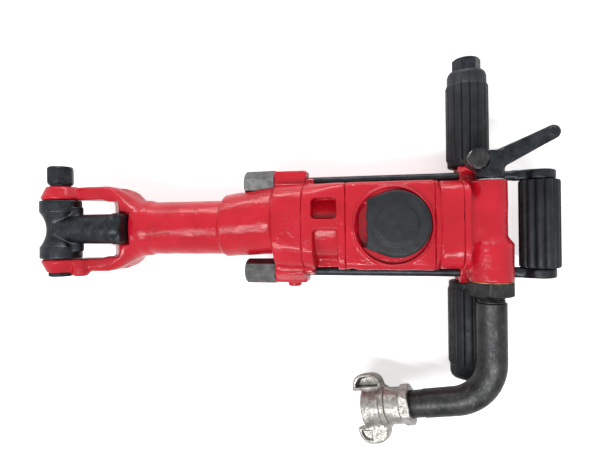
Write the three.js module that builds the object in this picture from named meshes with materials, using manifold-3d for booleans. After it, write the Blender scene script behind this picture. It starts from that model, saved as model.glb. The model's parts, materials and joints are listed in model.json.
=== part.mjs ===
// Pneumatic rock drill: a hand-held sinker drill lying on the flat underside of its cylinder.
// Millimetres. +X runs to the D-handle, +Y along the T-handle, +Z up, away from the rest plane.
// The origin is on the cylinder's underside, straight below the middle of the exhaust port.
import * as THREE from 'three';
import { mergeVertices } from 'three/addons/utils/BufferGeometryUtils.js';
import Module from 'manifold-3d';

const wasm = await Module();
wasm.setup();
const { Manifold, Mesh: SolidMesh } = wasm;

// Shared sizes
const axisHeight = 46;
const overrun = 3;
const seatGap = 0.3;
const runGap = 0.4;
const slipGap = 0.15;
const roundSides = 28;
const smallSides = 16;
const cornerSteps = 4;
const endSteps = 6;
const edgeChamfer = 1.5;
const quarterTurn = Math.PI / 2;

// Casing lengths along the drill axis, counted from the middle of the exhaust port
const cylinderFrontReach = 44.5;
const cylinderRearReach = 38;
const guideLength = 44.5;
const guideFlangeLength = 10;
const rearHousingLength = 25;
const backheadLength = 40;
const backheadFlangeLength = 6;
const headBodyLength = 201;
const cylinderFront = -cylinderFrontReach;
const guideFront = cylinderFront - guideLength;
const yokeRoot = guideFront - headBodyLength;
const rearHousingRear = cylinderRearReach + rearHousingLength;
const backheadRear = rearHousingRear + backheadLength;

// Cylinder block
const blockHalfWidth = 41.8;
const blockTop = 42;
const blockCorner = 7;
const drumInset = 0.3;
const drumCorner = 18;
const drumRamp = 5;
const boreRadius = 29.35;
const exhaustRingRadius = 37;
const exhaustRingChamfer = 1.4;
const exhaustRingHeight = 6;
const exhaustSeatDepth = 4.4;
const exhaustPortRadius = 15;
const exhaustChannelReach = 33;
const exhaustRingInner = 34;
const exhaustChannelHalf = 20;
const exhaustChannelDepth = 8;
const deflectorRadius = 30.9;
const deflectorAhead = 3.4;
const deflectorAside = 1.4;
const deflectorRise = 3.4;
const deflectorFlatReach = 24.9;
const deflectorFlatHalf = 22.4;
const deflectorSweep = 1.9;
const deflectorDomeRadius = 20;
const deflectorCrown = 1.6;

// Guide housing between the front head and the cylinder
const guidePocketLength = 21;
const guidePocketSetback = 11.5;
const guidePocketCorner = 4;
const guideUpperPocketFrom = 7;
const guideUpperPocketTo = 26;
const guideLowerPocketFrom = -3.5;
const guidePocketFloor = 6;
const guideCoreRadius = 33.5;
const guideEarHalfWidth = 49.5;
const guideEarHalfHeight = 12;
const guideEarCorner = 4;

// Front head
const neckRadius = 29;
const neckLength = 88;
const neckStart = 24;
const barrelRadius = 33.2;
const barrelRearRadius = 36;
const barrelOffset = 1.8;
const barrelRearOffset = 7.2;
const stepLength = 3;
const headFlangeLength = 32;
const headFlangeHalfWidth = 43;
const headFlangeTop = 41;
const headFlangeRamp = 17;
const headFlangeCorner = 30;
const headSeamCorner = 26;
const headBoreRadius = 22.6;
const mouthRadius = 20.4;

// Yoke and steel retainer
const pivotReach = 68.5;
const pivotRise = 30;
const yokeGapHalf = 31.7;
const yokeGapSetback = 7;
const yokeHalfWidth = 46.6;
const yokeArmCorner = 9;
const shoulderReach = 18;
const shoulderSteps = 6;
const neckNose = 8;
const yokeBossRadius = 14.5;
const yokeBossFlareRadius = 20;
const yokeBossFlareThickness = 3;
const yokeRootCorner = 11;
const lockBossRadius = 8.6;
const lockBossReach = 23;
const lockBossRise = 4.6;
const pivotBoltRadius = 7.5;
const pivotHeadAcross = 24.4;
const pivotHeadHeight = 19.9;
const pivotWasherHeight = 2;
const pivotNutAcross = 24;
const pivotNutHeight = 4.4;
const spoolEndRadius = 21.5;
const spoolEndWidth = 12.4;
const spoolWaistRadius = 14.6;
const spoolChamfer = 1.6;
const stemRadius = 16;
const stemLength = 78.5;
const stemRingRadius = 16.9;
const stemRingWidth = 5;
const stemTipLength = 8;
const stemTipBevel = 2.7;
const stemTipRadius = 13;
const stopLugRadius = 8.4;
const stopLugReach = 17.6;
const stopLugSpan = 24;
const collarPathRadius = 19.5;

// Side rods, which are also the arms of the D-handle
const rodOffset = 46.6;
const rodRadius = 4.7;
const rodNutLength = 33;
const rodNutAcross = 22.6;
const rodLugRadius = 11.2;
const rodLugCorner = 3;
const rodEyeRadius = 14.4;
const rodEyeThickness = 9;
const backLugLength = 15;
const backLugRadius = 10.6;
const backLugCorner = 9.5;
const rodShoulderRadius = 6.4;
const rodShoulderLength = 4;
const dGripClearance = 16;
const dGripRadius = 18.2;
const dGripRibs = 12;
const dGripRibDepth = 1.7;
const ribPoints = 5;
const dGripTubeWall = 2;
const dBoltRadius = 6;
const dBoltHeadRadius = 8.4;

// T-handle
const tGripLift = 0.1;
const tGripRadius = 21;
const tGripRibs = 16;
const tGripRibDepth = 1.5;
const tHandleReach = 76.5;
const tGripStart = 58;
const tGripLength = 99.2;
const tGripCollar = 7;
const tGripEndCollar = 14.5;
const tGripEndBevel = 4.8;
const tGripCollarRadius = 19.8;
const tBossRadius = 14;
const tBoltRadius = 8;
const tBoltHeadAcross = 24.4;
const tBoltHeadHeight = 13;
const tNutHeight = 13;
const tTubeWall = 3.4;
const tGripPocketDepth = 16;
const tHandleRise = tGripRadius + tGripLift - axisHeight;

// Backhead
const backBodyCorner = 22;
const backTailCorner = 14;
const backBodyHalfWidth = 37;
const backBodyTop = 34;
const backBodyBottom = -40;
const backTailHalfWidth = 30;
const backTailTop = 14;
const backTailBottom = -36;

// Throttle and inlet, which share one cross axis
const throttleReach = 88.6;
const throttleRise = 22;
const tubeRadius = 14.2;
const tubeFrontReach = 3;
const tubeTopReach = 39.8;
const tubeWideRadius = 20;
const tubeWideStart = 10.5;
const tubeWideRamp = 7.5;
const tubeBottomReach = 52.4;
const valveRadius = 10.4;
const valveBoreRadius = 10.7;
const valveTopReach = 33;
const valveBottomReach = 36;
const valveCavityRadius = 7;
const valvePortRadius = 5;
const valveOpeningDegrees = 60;
const valveStemRadius = 7;
const leverWasherRadius = 12.6;
const leverWasherThickness = 2;
const leverHubRadius = 12.8;
const leverHubBottom = 42.3;
const leverHubTop = 67.4;
const leverRootY = 56.4;
const leverTipX = 53;
const leverTipY = 82.4;
const leverTipRadius = 6.4;
const leverRootRadius = 8.8;
const leverArmHalfThickness = 6.5;
const leverPadRadius = 4.4;
const leverPadHeight = 1.4;
const leverSlotWidth = 2.4;
const pinchReach = 60;
const pinchRadius = 4;
const pinchHeadAcross = 15.5;
const pinchHeadHeight = 6;
const pinchWasherRadius = 8.6;
const pinchWasherThickness = 1.8;
const pinchBossRadius = 9.2;
const pinchSetback = 12;
const pinchBossFront = 8.7;
const pinchBossRear = 9;
const gasketThickness = 0.8;
const gasketInset = 0.6;
const bushingAcross = 39.6;
const bushingHexHeight = 12.6;
const bushingSpigotRadius = 14;
const bushingSpigotLength = 11;
const bushingPassRadius = 9;
const bushingSocketDepth = 9;
const pipeThreadRadius = 12.2;
const pipeThreadLength = 6.5;
const pipeRadius = 13.6;
const pipeBoreRadius = 9.6;
const outletCorner = 161.4;
const pipeBendRadius = 43;
const pipeBendAngle = THREE.MathUtils.degToRad(77);
const pipeEndThreadLength = 18;
const pipeEndThreadRadius = 13;
const pipeEndTaper = 12;
const pipeTilt = THREE.MathUtils.degToRad(14);
const pipeSteps = 14;
const pipeSides = 16;
const strainerWall = 0.9;
const strainerLength = 14;

// Claw coupling, measured along the outlet from the throttle's cross axis
const couplingStart = 76;
const couplingHexLength = 9.6;
const couplingHexAcross = 35.4;
const couplingNeckRadius = 17.6;
const couplingNeckLength = 15;
const couplingRibRadius = 19.6;
const couplingRibWidth = 5;
const couplingBodyRadius = 18.2;
const couplingFaceReach = 124.4;
const couplingFaceRadius = 19.4;
const couplingBoreRadius = 9.5;
const couplingSealSeatRadius = 14.6;
const couplingSealDepth = 6;
const couplingSealProud = 1.5;
const couplingRollDegrees = -12;
const clawOverhang = 10;
const clawHeelSetback = 21.8;
const clawRootSetback = 29;
const clawSpread = 34;
const clawRootSpread = 15;
const clawLipSpread = 17.5;
const clawHalfThickness = 8.5;
const clawRound = 13;
const clawRim = 4;
const clawPocketDepth = 11;
const clawBackPocketDepth = 3.5;

// Percussion and rotation parts
const chuckFrontSetback = 28.5;
const chuckRadius = 20;
const chuckLength = 127;
const shankAcross = 23;
const shankDepth = 57;
const chuckCavityRadius = 15.6;
const chuckBushingWall = 2.1;
const chuckBushingLength = 80;
const driverRadius = 18.4;
const driverLength = 26;
const pistonStemRadius = 14.4;
const pistonSplineDepth = 2;
const pistonSplineCount = 4;
const pistonStemLength = 151;
const pistonHeadLength = 32;
const pistonBackGap = 2;
const pistonStroke = 36;
const stemBushingRadius = 21;
const stemBushingFlangeRadius = 29;
const stemBushingFlangeLength = 6;
const guideBoreFrontReach = 7.5;
const nutLength = 22;
const nutRadius = 18;
const rifleLead = 400;
const rifleLobes = 6;
const rifleRadius = 10.6;
const rifleLobeDepth = 1.6;
const rifleFront = -36;
const rifleRingSpacing = 7;
const splinePoints = 4;
const rifleHeadRadius = 17.5;
const rifleHeadLength = 15;
const chestLength = 18;
const chestRadius = 29;
const chestPlateThickness = 5.4;
const chestChamberLength = 7.2;
const valveRingInner = 16.5;
const valveRingOuter = 23;
const valveRingThickness = 4;
const ratchetInnerRadius = 18.4;
const ratchetToothDepth = 2.4;
const ratchetTeeth = 16;
const ratchetFlankShare = 0.2;
const ratchetBoreRadius = 26.6;
const pawlCount = 4;
const pawlRadius = 3;
const pawlReach = 5.4;
const pawlTipRadius = 1.6;
const pawlSeatRadius = 12.6;
const pawlLeanShare = 0.78;
const airHoleRadius = 2;
const airHoleSides = 6;

// Throttle detent
const detentReach = 12;
const detentSetback = 2.2;
const detentRadius = 2.6;
const detentTipRadius = 0.9;
const detentBevelRadius = 1.7;
const detentLength = 9;
const detentSpringLength = 12;
const detentSpringWall = 0.7;
const detentNotchDepth = 1.2;
const detentPlugRadius = 3.4;

// Plugs in the casings
const lubePlugRadius = 7;
const lubePlugHeight = 4.6;
const lubePlugSetback = 13;
const lubePlugSeatDepth = 5;

// Places worked out from the sizes above
const pivotX = yokeRoot - pivotReach;
const gapRoot = yokeRoot - yokeGapSetback;
const dGripReach = backheadRear + dGripClearance + dGripRadius;
const clawReach = couplingFaceReach + clawOverhang;
const guideBoreFront = cylinderFront - guideBoreFrontReach;
const exhaustSeatRadius = Math.hypot(deflectorAhead, deflectorAside) + deflectorRadius + 2 * seatGap;
const chestFront = cylinderRearReach - chestLength;
const pistonHeadRear = chestFront - pistonBackGap;
const pistonHeadFront = pistonHeadRear - pistonHeadLength;
const pistonStemFront = pistonHeadFront - pistonStemLength;
const chuckFront = yokeRoot + chuckFrontSetback;
const chuckRear = chuckFront + chuckLength;
const chuckBushingInner = headBoreRadius - slipGap - chuckBushingWall;
const headFlangeFront = guideFront - headFlangeLength;
const blockBottom = -axisHeight;
const blockBox = [-blockHalfWidth, blockHalfWidth, blockBottom, blockTop];
const seamBox = [-headFlangeHalfWidth, headFlangeHalfWidth, blockBottom, headFlangeTop];
const drumHalfWidth = blockHalfWidth - drumInset;
const drumBox = [-drumHalfWidth, drumHalfWidth, blockBottom + drumInset, blockTop - drumInset];
const detentTop = throttleRise - valveRadius + detentNotchDepth - seatGap;
const detentSpringTop = detentTop - detentLength - seatGap;
const detentPlugTop = detentSpringTop - detentSpringLength - seatGap;
const detentAt = [throttleReach + detentSetback, detentReach];
const pinchAt = [-pinchSetback, pinchReach];
const hexCornerShare = 2 / Math.sqrt(3);
const nutFront = headFlangeFront - rodNutLength;
const lugRear = rearHousingRear + backLugLength;

// A closed three.js surface as a solid, with its faces turned outwards
function solidOf(geometry) {
  const bare = geometry.clone();
  bare.deleteAttribute('normal');
  bare.deleteAttribute('uv');
  const merged = mergeVertices(bare);
  const places = new Float32Array(merged.attributes.position.array);
  const index = merged.index.array;
  const corners = [];
  const [a, b, c] = [new THREE.Vector3(), new THREE.Vector3(), new THREE.Vector3()];
  let sixVolumes = 0;
  for (let i = 0; i < index.length; i += 3) {
    const [p, q, r] = [index[i], index[i + 1], index[i + 2]];
    if (p !== q && q !== r && r !== p) {
      corners.push(p, q, r);
      a.fromArray(places, 3 * p);
      b.fromArray(places, 3 * q);
      c.fromArray(places, 3 * r);
      sixVolumes += a.dot(b.cross(c));
    }
  }
  const triVerts = new Uint32Array(sixVolumes < 0 ? corners.reverse() : corners);
  return new Manifold(new SolidMesh({ numProp: 3, vertProperties: places, triVerts }));
}

function join(first, ...others) {
  return others.reduce((body, other) => body.add(other), first);
}

function cut(body, ...tools) {
  return tools.reduce((rest, tool) => rest.subtract(tool), body);
}

// Section coordinates u and v with w along the axis, as a point of the part
const pointOnAxis = {
  x: (u, v, w) => [w, u, v],
  y: (u, v, w) => [u, w, v],
  z: (u, v, w) => [u, v, w],
};

function settled(geometry, axis, centre, readPoint) {
  const at = geometry.attributes.position;
  for (let i = 0; i < at.count; i += 1) {
    const [u, v, w] = readPoint(at.getX(i), at.getY(i), at.getZ(i));
    at.setXYZ(i, ...pointOnAxis[axis](u + centre[0], v + centre[1], w));
  }
  return solidOf(geometry);
}

// An outline of [u, v] points pushed along an axis
function prism(axis, outline, from, to, centre = [0, 0]) {
  const shape = new THREE.Shape(outline.map(([u, v]) => new THREE.Vector2(u, v)));
  const geometry = new THREE.ExtrudeGeometry(shape, { depth: to - from, bevelEnabled: false });
  return settled(geometry, axis, centre, (x, y, z) => [x, y, z + from]);
}

// A profile of [along, radius] points turned round an axis, closed on the axis at both ends
function turned(axis, profile, centre = [0, 0], sides = roundSides) {
  const closed = [[profile[0][0], 0], ...profile, [profile.at(-1)[0], 0]];
  const points = closed.map(([along, radius]) => new THREE.Vector2(radius, along));
  return settled(new THREE.LatheGeometry(points, sides), axis, centre, (x, y, z) => [x, z, y]);
}

function rod(axis, radius, from, to, centre = [0, 0], sides = roundSides) {
  return turned(axis, [[from, radius], [to, radius]], centre, sides);
}

function ring(axis, outer, inner, from, to, centre = [0, 0], sides = roundSides) {
  return cut(
    rod(axis, outer, from, to, centre, sides),
    rod(axis, inner, from - overrun, to + overrun, centre, sides),
  );
}

function block(x, y, z) {
  const geometry = new THREE.BoxGeometry(x[1] - x[0], y[1] - y[0], z[1] - z[0]);
  geometry.translate((x[0] + x[1]) / 2, (y[0] + y[1]) / 2, (z[0] + z[1]) / 2);
  return solidOf(geometry);
}

function arc(centreU, centreV, radius, start, end, steps) {
  return Array.from({ length: steps + 1 }, (_, i) => {
    const turn = start + ((end - start) * i) / steps;
    return [centreU + radius * Math.cos(turn), centreV + radius * Math.sin(turn)];
  });
}

// A rectangle with round corners; a circle when the corner is half of both widths
function roundedRing(left, right, bottom, top, corner) {
  const [inLeft, inRight] = [left + corner, right - corner];
  const [inBottom, inTop] = [bottom + corner, top - corner];
  return [
    ...arc(inRight, inTop, corner, 0, quarterTurn, cornerSteps),
    ...arc(inLeft, inTop, corner, quarterTurn, 2 * quarterTurn, cornerSteps),
    ...arc(inLeft, inBottom, corner, 2 * quarterTurn, 3 * quarterTurn, cornerSteps),
    ...arc(inRight, inBottom, corner, 3 * quarterTurn, 4 * quarterTurn, cornerSteps),
  ];
}

function roundRing(radius, offset = 0) {
  return roundedRing(offset - radius, offset + radius, -radius, radius, radius);
}

// A skin through rings of [y, z] points at stations along X, closed at both ends
function loft(stations) {
  const count = stations[0].ring.length;
  const places = [];
  for (const { x, ring: points } of stations) {
    for (const [y, z] of points) {
      places.push(x, y, z);
    }
  }
  const index = [];
  for (let s = 0; s + 1 < stations.length; s += 1) {
    for (let i = 0; i < count; i += 1) {
      const [low, next] = [s * count + i, s * count + ((i + 1) % count)];
      index.push(low, next, low + count, next, next + count, low + count);
    }
  }
  for (const s of [0, stations.length - 1]) {
    const { x, ring: points } = stations[s];
    const middle = points.reduce((sum, [y, z]) => [sum[0] + y / count, sum[1] + z / count], [0, 0]);
    const hub = places.length / 3;
    places.push(x, ...middle);
    for (let i = 0; i < count; i += 1) {
      const [low, next] = [s * count + i, s * count + ((i + 1) % count)];
      index.push(...(s === 0 ? [hub, next, low] : [hub, low, next]));
    }
  }
  const geometry = new THREE.BufferGeometry();
  geometry.setAttribute('position', new THREE.Float32BufferAttribute(places, 3));
  geometry.setIndex(index);
  return solidOf(geometry);
}

// The outline round two circles of different size
function taperedBar(start, startRadius, end, endRadius) {
  const along = Math.atan2(end[1] - start[1], end[0] - start[0]);
  return [
    ...arc(...start, startRadius, along + quarterTurn, along + 3 * quarterTurn, endSteps),
    ...arc(...end, endRadius, along - quarterTurn, along + quarterTurn, endSteps),
  ];
}

function cornerRadiusOf(across) {
  return (across * hexCornerShare) / 2;
}

function hexagon(across, firstTurn = 0) {
  return arc(0, 0, cornerRadiusOf(across), firstTurn, firstTurn + 4 * quarterTurn, 6).slice(1);
}

// A hexagonal head with its corners turned down at one or both ends
function hexHead(axis, across, from, to, chamfers, centre = [0, 0], firstTurn = 0) {
  const full = cornerRadiusOf(across) + slipGap;
  const chamfer = cornerRadiusOf(across) - across / 2;
  const flat = (across - chamfer) / 2;
  const profile = [
    ...(chamfers.from ? [[from, flat], [from + chamfer, full]] : [[from, full]]),
    ...(chamfers.to ? [[to - chamfer, full], [to, flat]] : [[to, full]]),
  ];
  return prism(axis, hexagon(across, firstTurn), from, to, centre).intersect(
    turned(axis, profile, centre, smallSides),
  );
}

// A lobed outline: radius falls from the crests to the roots a whole number of times a turn
function lobedRing(radius, depth, lobes, pointsPerLobe, firstTurn = 0) {
  const count = lobes * pointsPerLobe;
  return Array.from({ length: count }, (_, i) => {
    const turn = (4 * quarterTurn * i) / count;
    const reach = radius - (depth * (1 - Math.cos(lobes * turn))) / 2;
    return [reach * Math.cos(turn + firstTurn), reach * Math.sin(turn + firstTurn)];
  });
}

function finish(color, roughness, metalness) {
  return { color, roughness, metalness };
}
const redPaint = finish(0xc4121f, 0.28, 0);
const blackOxide = finish(0x16171a, 0.42, 0.85);
const blackRubber = finish(0x101113, 0.7, 0);
const greyNut = finish(0x4a4b4c, 0.5, 0.8);
const pipeSteel = finish(0x37393c, 0.45, 0.75);
const zinc = finish(0xb9b7b0, 0.35, 0.95);
const brass = finish(0xb08a3c, 0.35, 0.95);
const hardSteel = finish(0x8c8f93, 0.3, 0.95);
const springSteel = finish(0x6e7174, 0.35, 0.95);
const blackLever = finish(0x1b1c1e, 0.5, 0.6);

// Groups that place the assemblies
const rockDrill = new THREE.Group();
const drillLine = new THREE.Group();
drillLine.position.set(0, 0, axisHeight);
const latchLine = new THREE.Group();
latchLine.position.set(pivotX, 0, pivotRise);
const throttleLine = new THREE.Group();
throttleLine.position.set(throttleReach, 0, throttleRise);
const swivelLine = new THREE.Group();
swivelLine.rotation.y = -pipeTilt;
const outletLine = new THREE.Group();
outletLine.position.set(0, -outletCorner, 0);
outletLine.rotation.z = quarterTurn - pipeBendAngle;
swivelLine.add(outletLine);
const tLine = new THREE.Group();
tLine.position.set(tHandleReach, 0, tHandleRise);
const dLine = new THREE.Group();
dLine.position.set(dGripReach, 0, 0);
throttleLine.add(swivelLine);
drillLine.add(latchLine, throttleLine, tLine, dLine);
rockDrill.add(drillLine);

function addPiece(group, name, body, look) {
  const { vertProperties, triVerts } = body.getMesh();
  const indexed = new THREE.BufferGeometry();
  indexed.setAttribute('position', new THREE.BufferAttribute(new Float32Array(vertProperties), 3));
  indexed.setIndex(new THREE.BufferAttribute(new Uint32Array(triVerts), 1));
  const geometry = indexed.toNonIndexed();
  geometry.computeVertexNormals();
  const mesh = new THREE.Mesh(geometry, new THREE.MeshStandardMaterial(look));
  mesh.name = name;
  group.add(mesh);
}

// Holes round the side rods' axes, through any casing between two stations
function rodHoles(from, to, radius = rodRadius + seatGap) {
  return [-1, 1].map((side) => rod('x', radius, from, to, [side * rodOffset, 0], smallSides));
}

function rodLugs(radius, corner, from, to) {
  const reach = rodOffset + radius;
  const ring = roundedRing(-reach, reach, -radius, radius, corner);
  return loft([{ x: from, ring }, { x: to, ring }]);
}

// Front head: yoke arms, neck, barrel and rear flange in one casting
function yokeArms() {
  const neckEnd = yokeRoot + neckStart;
  const shoulderEnd = yokeRoot - shoulderReach;
  const armEnd = pivotX - yokeBossRadius - overrun;
  const rampStations = Array.from({ length: shoulderSteps + 1 }, (_, i) => {
    const share = i / shoulderSteps;
    const rise = (1 - Math.cos(2 * quarterTurn * share)) / 2;
    const half = neckRadius + (yokeHalfWidth - neckRadius) * rise;
    const corner = neckRadius + (yokeArmCorner - neckRadius) * rise;
    const x = neckEnd + (shoulderEnd - neckEnd) * share;
    return { x, ring: roundedRing(-half, half, -neckRadius, neckRadius, corner) };
  });
  const arms = loft([...rampStations, { x: armEnd, ring: rampStations.at(-1).ring }]);
  const side = prism('y', [
    [neckEnd, -neckRadius],
    [neckEnd, neckRadius],
    [shoulderEnd, neckRadius],
    ...arc(pivotX, pivotRise, yokeBossRadius, quarterTurn, 3 * quarterTurn, 2 * endSteps),
    [yokeRoot, -neckRadius],
  ], -yokeHalfWidth - overrun, yokeHalfWidth + overrun);
  const bosses = [-1, 1].map((hand) => turned('y', [
    [hand * yokeGapHalf, yokeBossFlareRadius],
    [hand * (yokeGapHalf + yokeBossFlareThickness), yokeBossFlareRadius],
    [hand * yokeHalfWidth, yokeBossRadius],
  ], [pivotX, pivotRise]));
  const lockBoss = turned('y', [
    [-yokeHalfWidth - lockBossRise, lockBossRadius / 2],
    [-yokeHalfWidth - lockBossRise / 2, lockBossRadius],
    [-yokeGapHalf - overrun, lockBossRadius],
  ], [pivotX + lockBossReach, pivotRise - lockBossRadius / 2], smallSides);
  return join(arms.intersect(side), ...bosses, lockBoss);
}

// The gap between the yoke arms, round in its two corners, seen along Z
function yokeGap() {
  const from = pivotX - 2 * pivotReach;
  const cornerX = gapRoot - yokeRootCorner;
  const cornerY = yokeGapHalf - yokeRootCorner;
  return prism('z', [
    [from, -yokeGapHalf],
    ...arc(cornerX, -cornerY, yokeRootCorner, 3 * quarterTurn, 4 * quarterTurn, endSteps),
    ...arc(cornerX, cornerY, yokeRootCorner, 0, quarterTurn, endSteps),
    [from, yokeGapHalf],
  ], -2 * neckRadius, 2 * neckRadius);
}

// The slot that the retainer's stem lies in, open at the top
function stemNest() {
  const from = gapRoot - yokeRootCorner - overrun;
  const to = pivotX + Math.hypot(stemLength, stemRingRadius) + runGap;
  const radius = stemRingRadius + runGap;
  return join(
    rod('x', radius, from, to, [0, pivotRise], smallSides),
    block([from, to], [-radius, radius], [pivotRise, 2 * neckRadius]),
  );
}

function frontHead() {
  const neckEnd = yokeRoot + neckStart + neckLength;
  const shape = loft([
    { x: yokeRoot + neckNose, ring: roundRing(neckRadius - overrun) },
    { x: yokeRoot + neckStart, ring: roundRing(neckRadius) },
    { x: neckEnd, ring: roundRing(neckRadius) },
    { x: neckEnd + stepLength, ring: roundRing(barrelRadius, barrelOffset) },
    { x: headFlangeFront, ring: roundRing(barrelRearRadius, barrelRearOffset) },
    { x: headFlangeFront + headFlangeRamp, ring: roundedRing(...seamBox, headFlangeCorner) },
    { x: guideFront, ring: roundedRing(...seamBox, headSeamCorner) },
  ]);
  const across = [-2 * yokeHalfWidth, 2 * yokeHalfWidth];
  const pivotHole = rod('y', pivotBoltRadius + seatGap, ...across, [pivotX, pivotRise], smallSides);
  const plugAt = [guideFront - lubePlugSetback, 0];
  const plugFloor = lubePlugSeatDepth - rodOffset - rodLugRadius;
  const plugSeat = rod('y', lubePlugRadius + slipGap, -2 * rodOffset, plugFloor, plugAt, smallSides);
  return cut(
    join(shape, yokeArms(), rodLugs(rodLugRadius, rodLugCorner, headFlangeFront, guideFront)),
    yokeGap(),
    stemNest(),
    pivotHole,
    plugSeat,
    rod('x', mouthRadius, gapRoot - yokeRootCorner - overrun, chuckFront + overrun),
    rod('x', headBoreRadius, chuckFront - seatGap, guideFront + overrun),
    ...rodHoles(nutFront, guideFront + overrun),
    ...rodHoles(nutFront - overrun, headFlangeFront, cornerRadiusOf(rodNutAcross) + seatGap),
  );
}
addPiece(drillLine, 'front_head', frontHead(), redPaint);

// Guide housing: ears for the side rods, and two pockets down to the round core
function guideHousing() {
  const earBox = [-guideEarHalfWidth, guideEarHalfWidth, -guideEarHalfHeight, guideEarHalfHeight];
  const earEnd = guideFront + guideFlangeLength;
  const shape = join(
    loft([
      { x: guideFront, ring: roundedRing(...seamBox, headSeamCorner) },
      { x: cylinderFront, ring: roundedRing(...blockBox, blockCorner) },
    ]),
    loft([
      { x: guideFront, ring: roundedRing(...earBox, guideEarCorner) },
      { x: earEnd, ring: roundedRing(...earBox, guideEarCorner) },
    ]),
  );
  const pocketFront = guideFront + guidePocketSetback;
  const pocketRear = pocketFront + guidePocketLength;
  const core = rod('x', guideCoreRadius, pocketFront - overrun, pocketRear + overrun);
  const pockets = [
    [guideUpperPocketFrom, guideUpperPocketTo],
    [-2 * blockHalfWidth, guideLowerPocketFrom],
  ].map(([from, to]) => prism(
    'z',
    roundedRing(pocketFront, pocketRear, from, to, guidePocketCorner),
    guidePocketFloor,
    blockTop + overrun,
  ).subtract(core));
  return cut(
    shape,
    ...pockets,
    rod('x', stemBushingRadius + slipGap, guideFront - overrun, cylinderFront),
    rod('x', boreRadius, guideBoreFront - stemBushingFlangeLength - slipGap, cylinderFront + overrun),
    ...rodHoles(guideFront - overrun, cylinderFront + overrun),
  );
}
addPiece(drillLine, 'guide_housing', guideHousing(), redPaint);

// Cylinder, with the raised exhaust ring on top
function cylinderBody() {
  const shape = join(
    loft([
      { x: cylinderFront, ring: roundedRing(...blockBox, blockCorner) },
      { x: cylinderRearReach, ring: roundedRing(...blockBox, blockCorner) },
    ]),
    turned('z', [
      [blockTop - overrun, exhaustRingRadius],
      [blockTop + exhaustRingHeight - exhaustRingChamfer, exhaustRingRadius],
      [blockTop + exhaustRingHeight, exhaustRingRadius - exhaustRingChamfer],
    ]),
  );
  const ringTop = blockTop + exhaustRingHeight;
  const channel = block(
    [-exhaustChannelReach, 0],
    [-exhaustChannelHalf, exhaustChannelHalf],
    [blockTop - exhaustChannelDepth, ringTop],
  ).intersect(rod('z', exhaustRingInner, 0, ringTop + overrun));
  return cut(
    shape,
    channel,
    rod('x', boreRadius, cylinderFront - overrun, cylinderRearReach + overrun),
    rod('z', exhaustSeatRadius, ringTop - exhaustSeatDepth, ringTop + overrun),
    rod('z', exhaustPortRadius, 0, ringTop, [0, 0], smallSides),
  );
}
addPiece(drillLine, 'cylinder', cylinderBody(), redPaint);

// Exhaust deflector: a rubber cap cut off straight on the side that the air leaves by
function exhaustDeflector() {
  const floor = blockTop + exhaustRingHeight - exhaustSeatDepth;
  const top = blockTop + exhaustRingHeight + deflectorRise;
  const middle = [deflectorAhead, deflectorAside];
  const outline = [
    ...arc(...middle, deflectorRadius, -deflectorSweep, deflectorSweep, roundSides),
    [-deflectorFlatReach, deflectorAside + deflectorFlatHalf],
    [-deflectorFlatReach, deflectorAside - deflectorFlatHalf],
  ];
  const crown = turned('z', [
    [floor, 2 * deflectorRadius],
    [top - 2 * deflectorCrown, deflectorRadius + overrun],
    [top - deflectorCrown, deflectorRadius - deflectorCrown],
    [top, deflectorDomeRadius],
  ], middle);
  const hollow = join(
    rod('z', exhaustPortRadius + overrun, floor - overrun, floor + exhaustSeatDepth, [0, 0], smallSides),
    block(
      [-2 * deflectorRadius, 0],
      [-exhaustPortRadius, exhaustPortRadius],
      [floor - overrun, floor + exhaustSeatDepth],
    ),
  );
  return cut(prism('z', outline, floor, top).intersect(crown), hollow);
}
addPiece(drillLine, 'exhaust_deflector', exhaustDeflector(), blackRubber);

// Rear housing round the ratchet
function rearHousing() {
  return cut(
    loft([
      { x: cylinderRearReach, ring: roundedRing(...drumBox, blockCorner) },
      { x: cylinderRearReach + drumRamp, ring: roundedRing(...drumBox, drumCorner) },
      { x: rearHousingRear, ring: roundedRing(...drumBox, drumCorner) },
    ]),
    rod('x', ratchetBoreRadius, cylinderRearReach - overrun, rearHousingRear - overrun),
    rod('x', ratchetBoreRadius - overrun, rearHousingRear - 2 * overrun, rearHousingRear + overrun),
  );
}
addPiece(drillLine, 'rear_housing', rearHousing(), redPaint);

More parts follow.
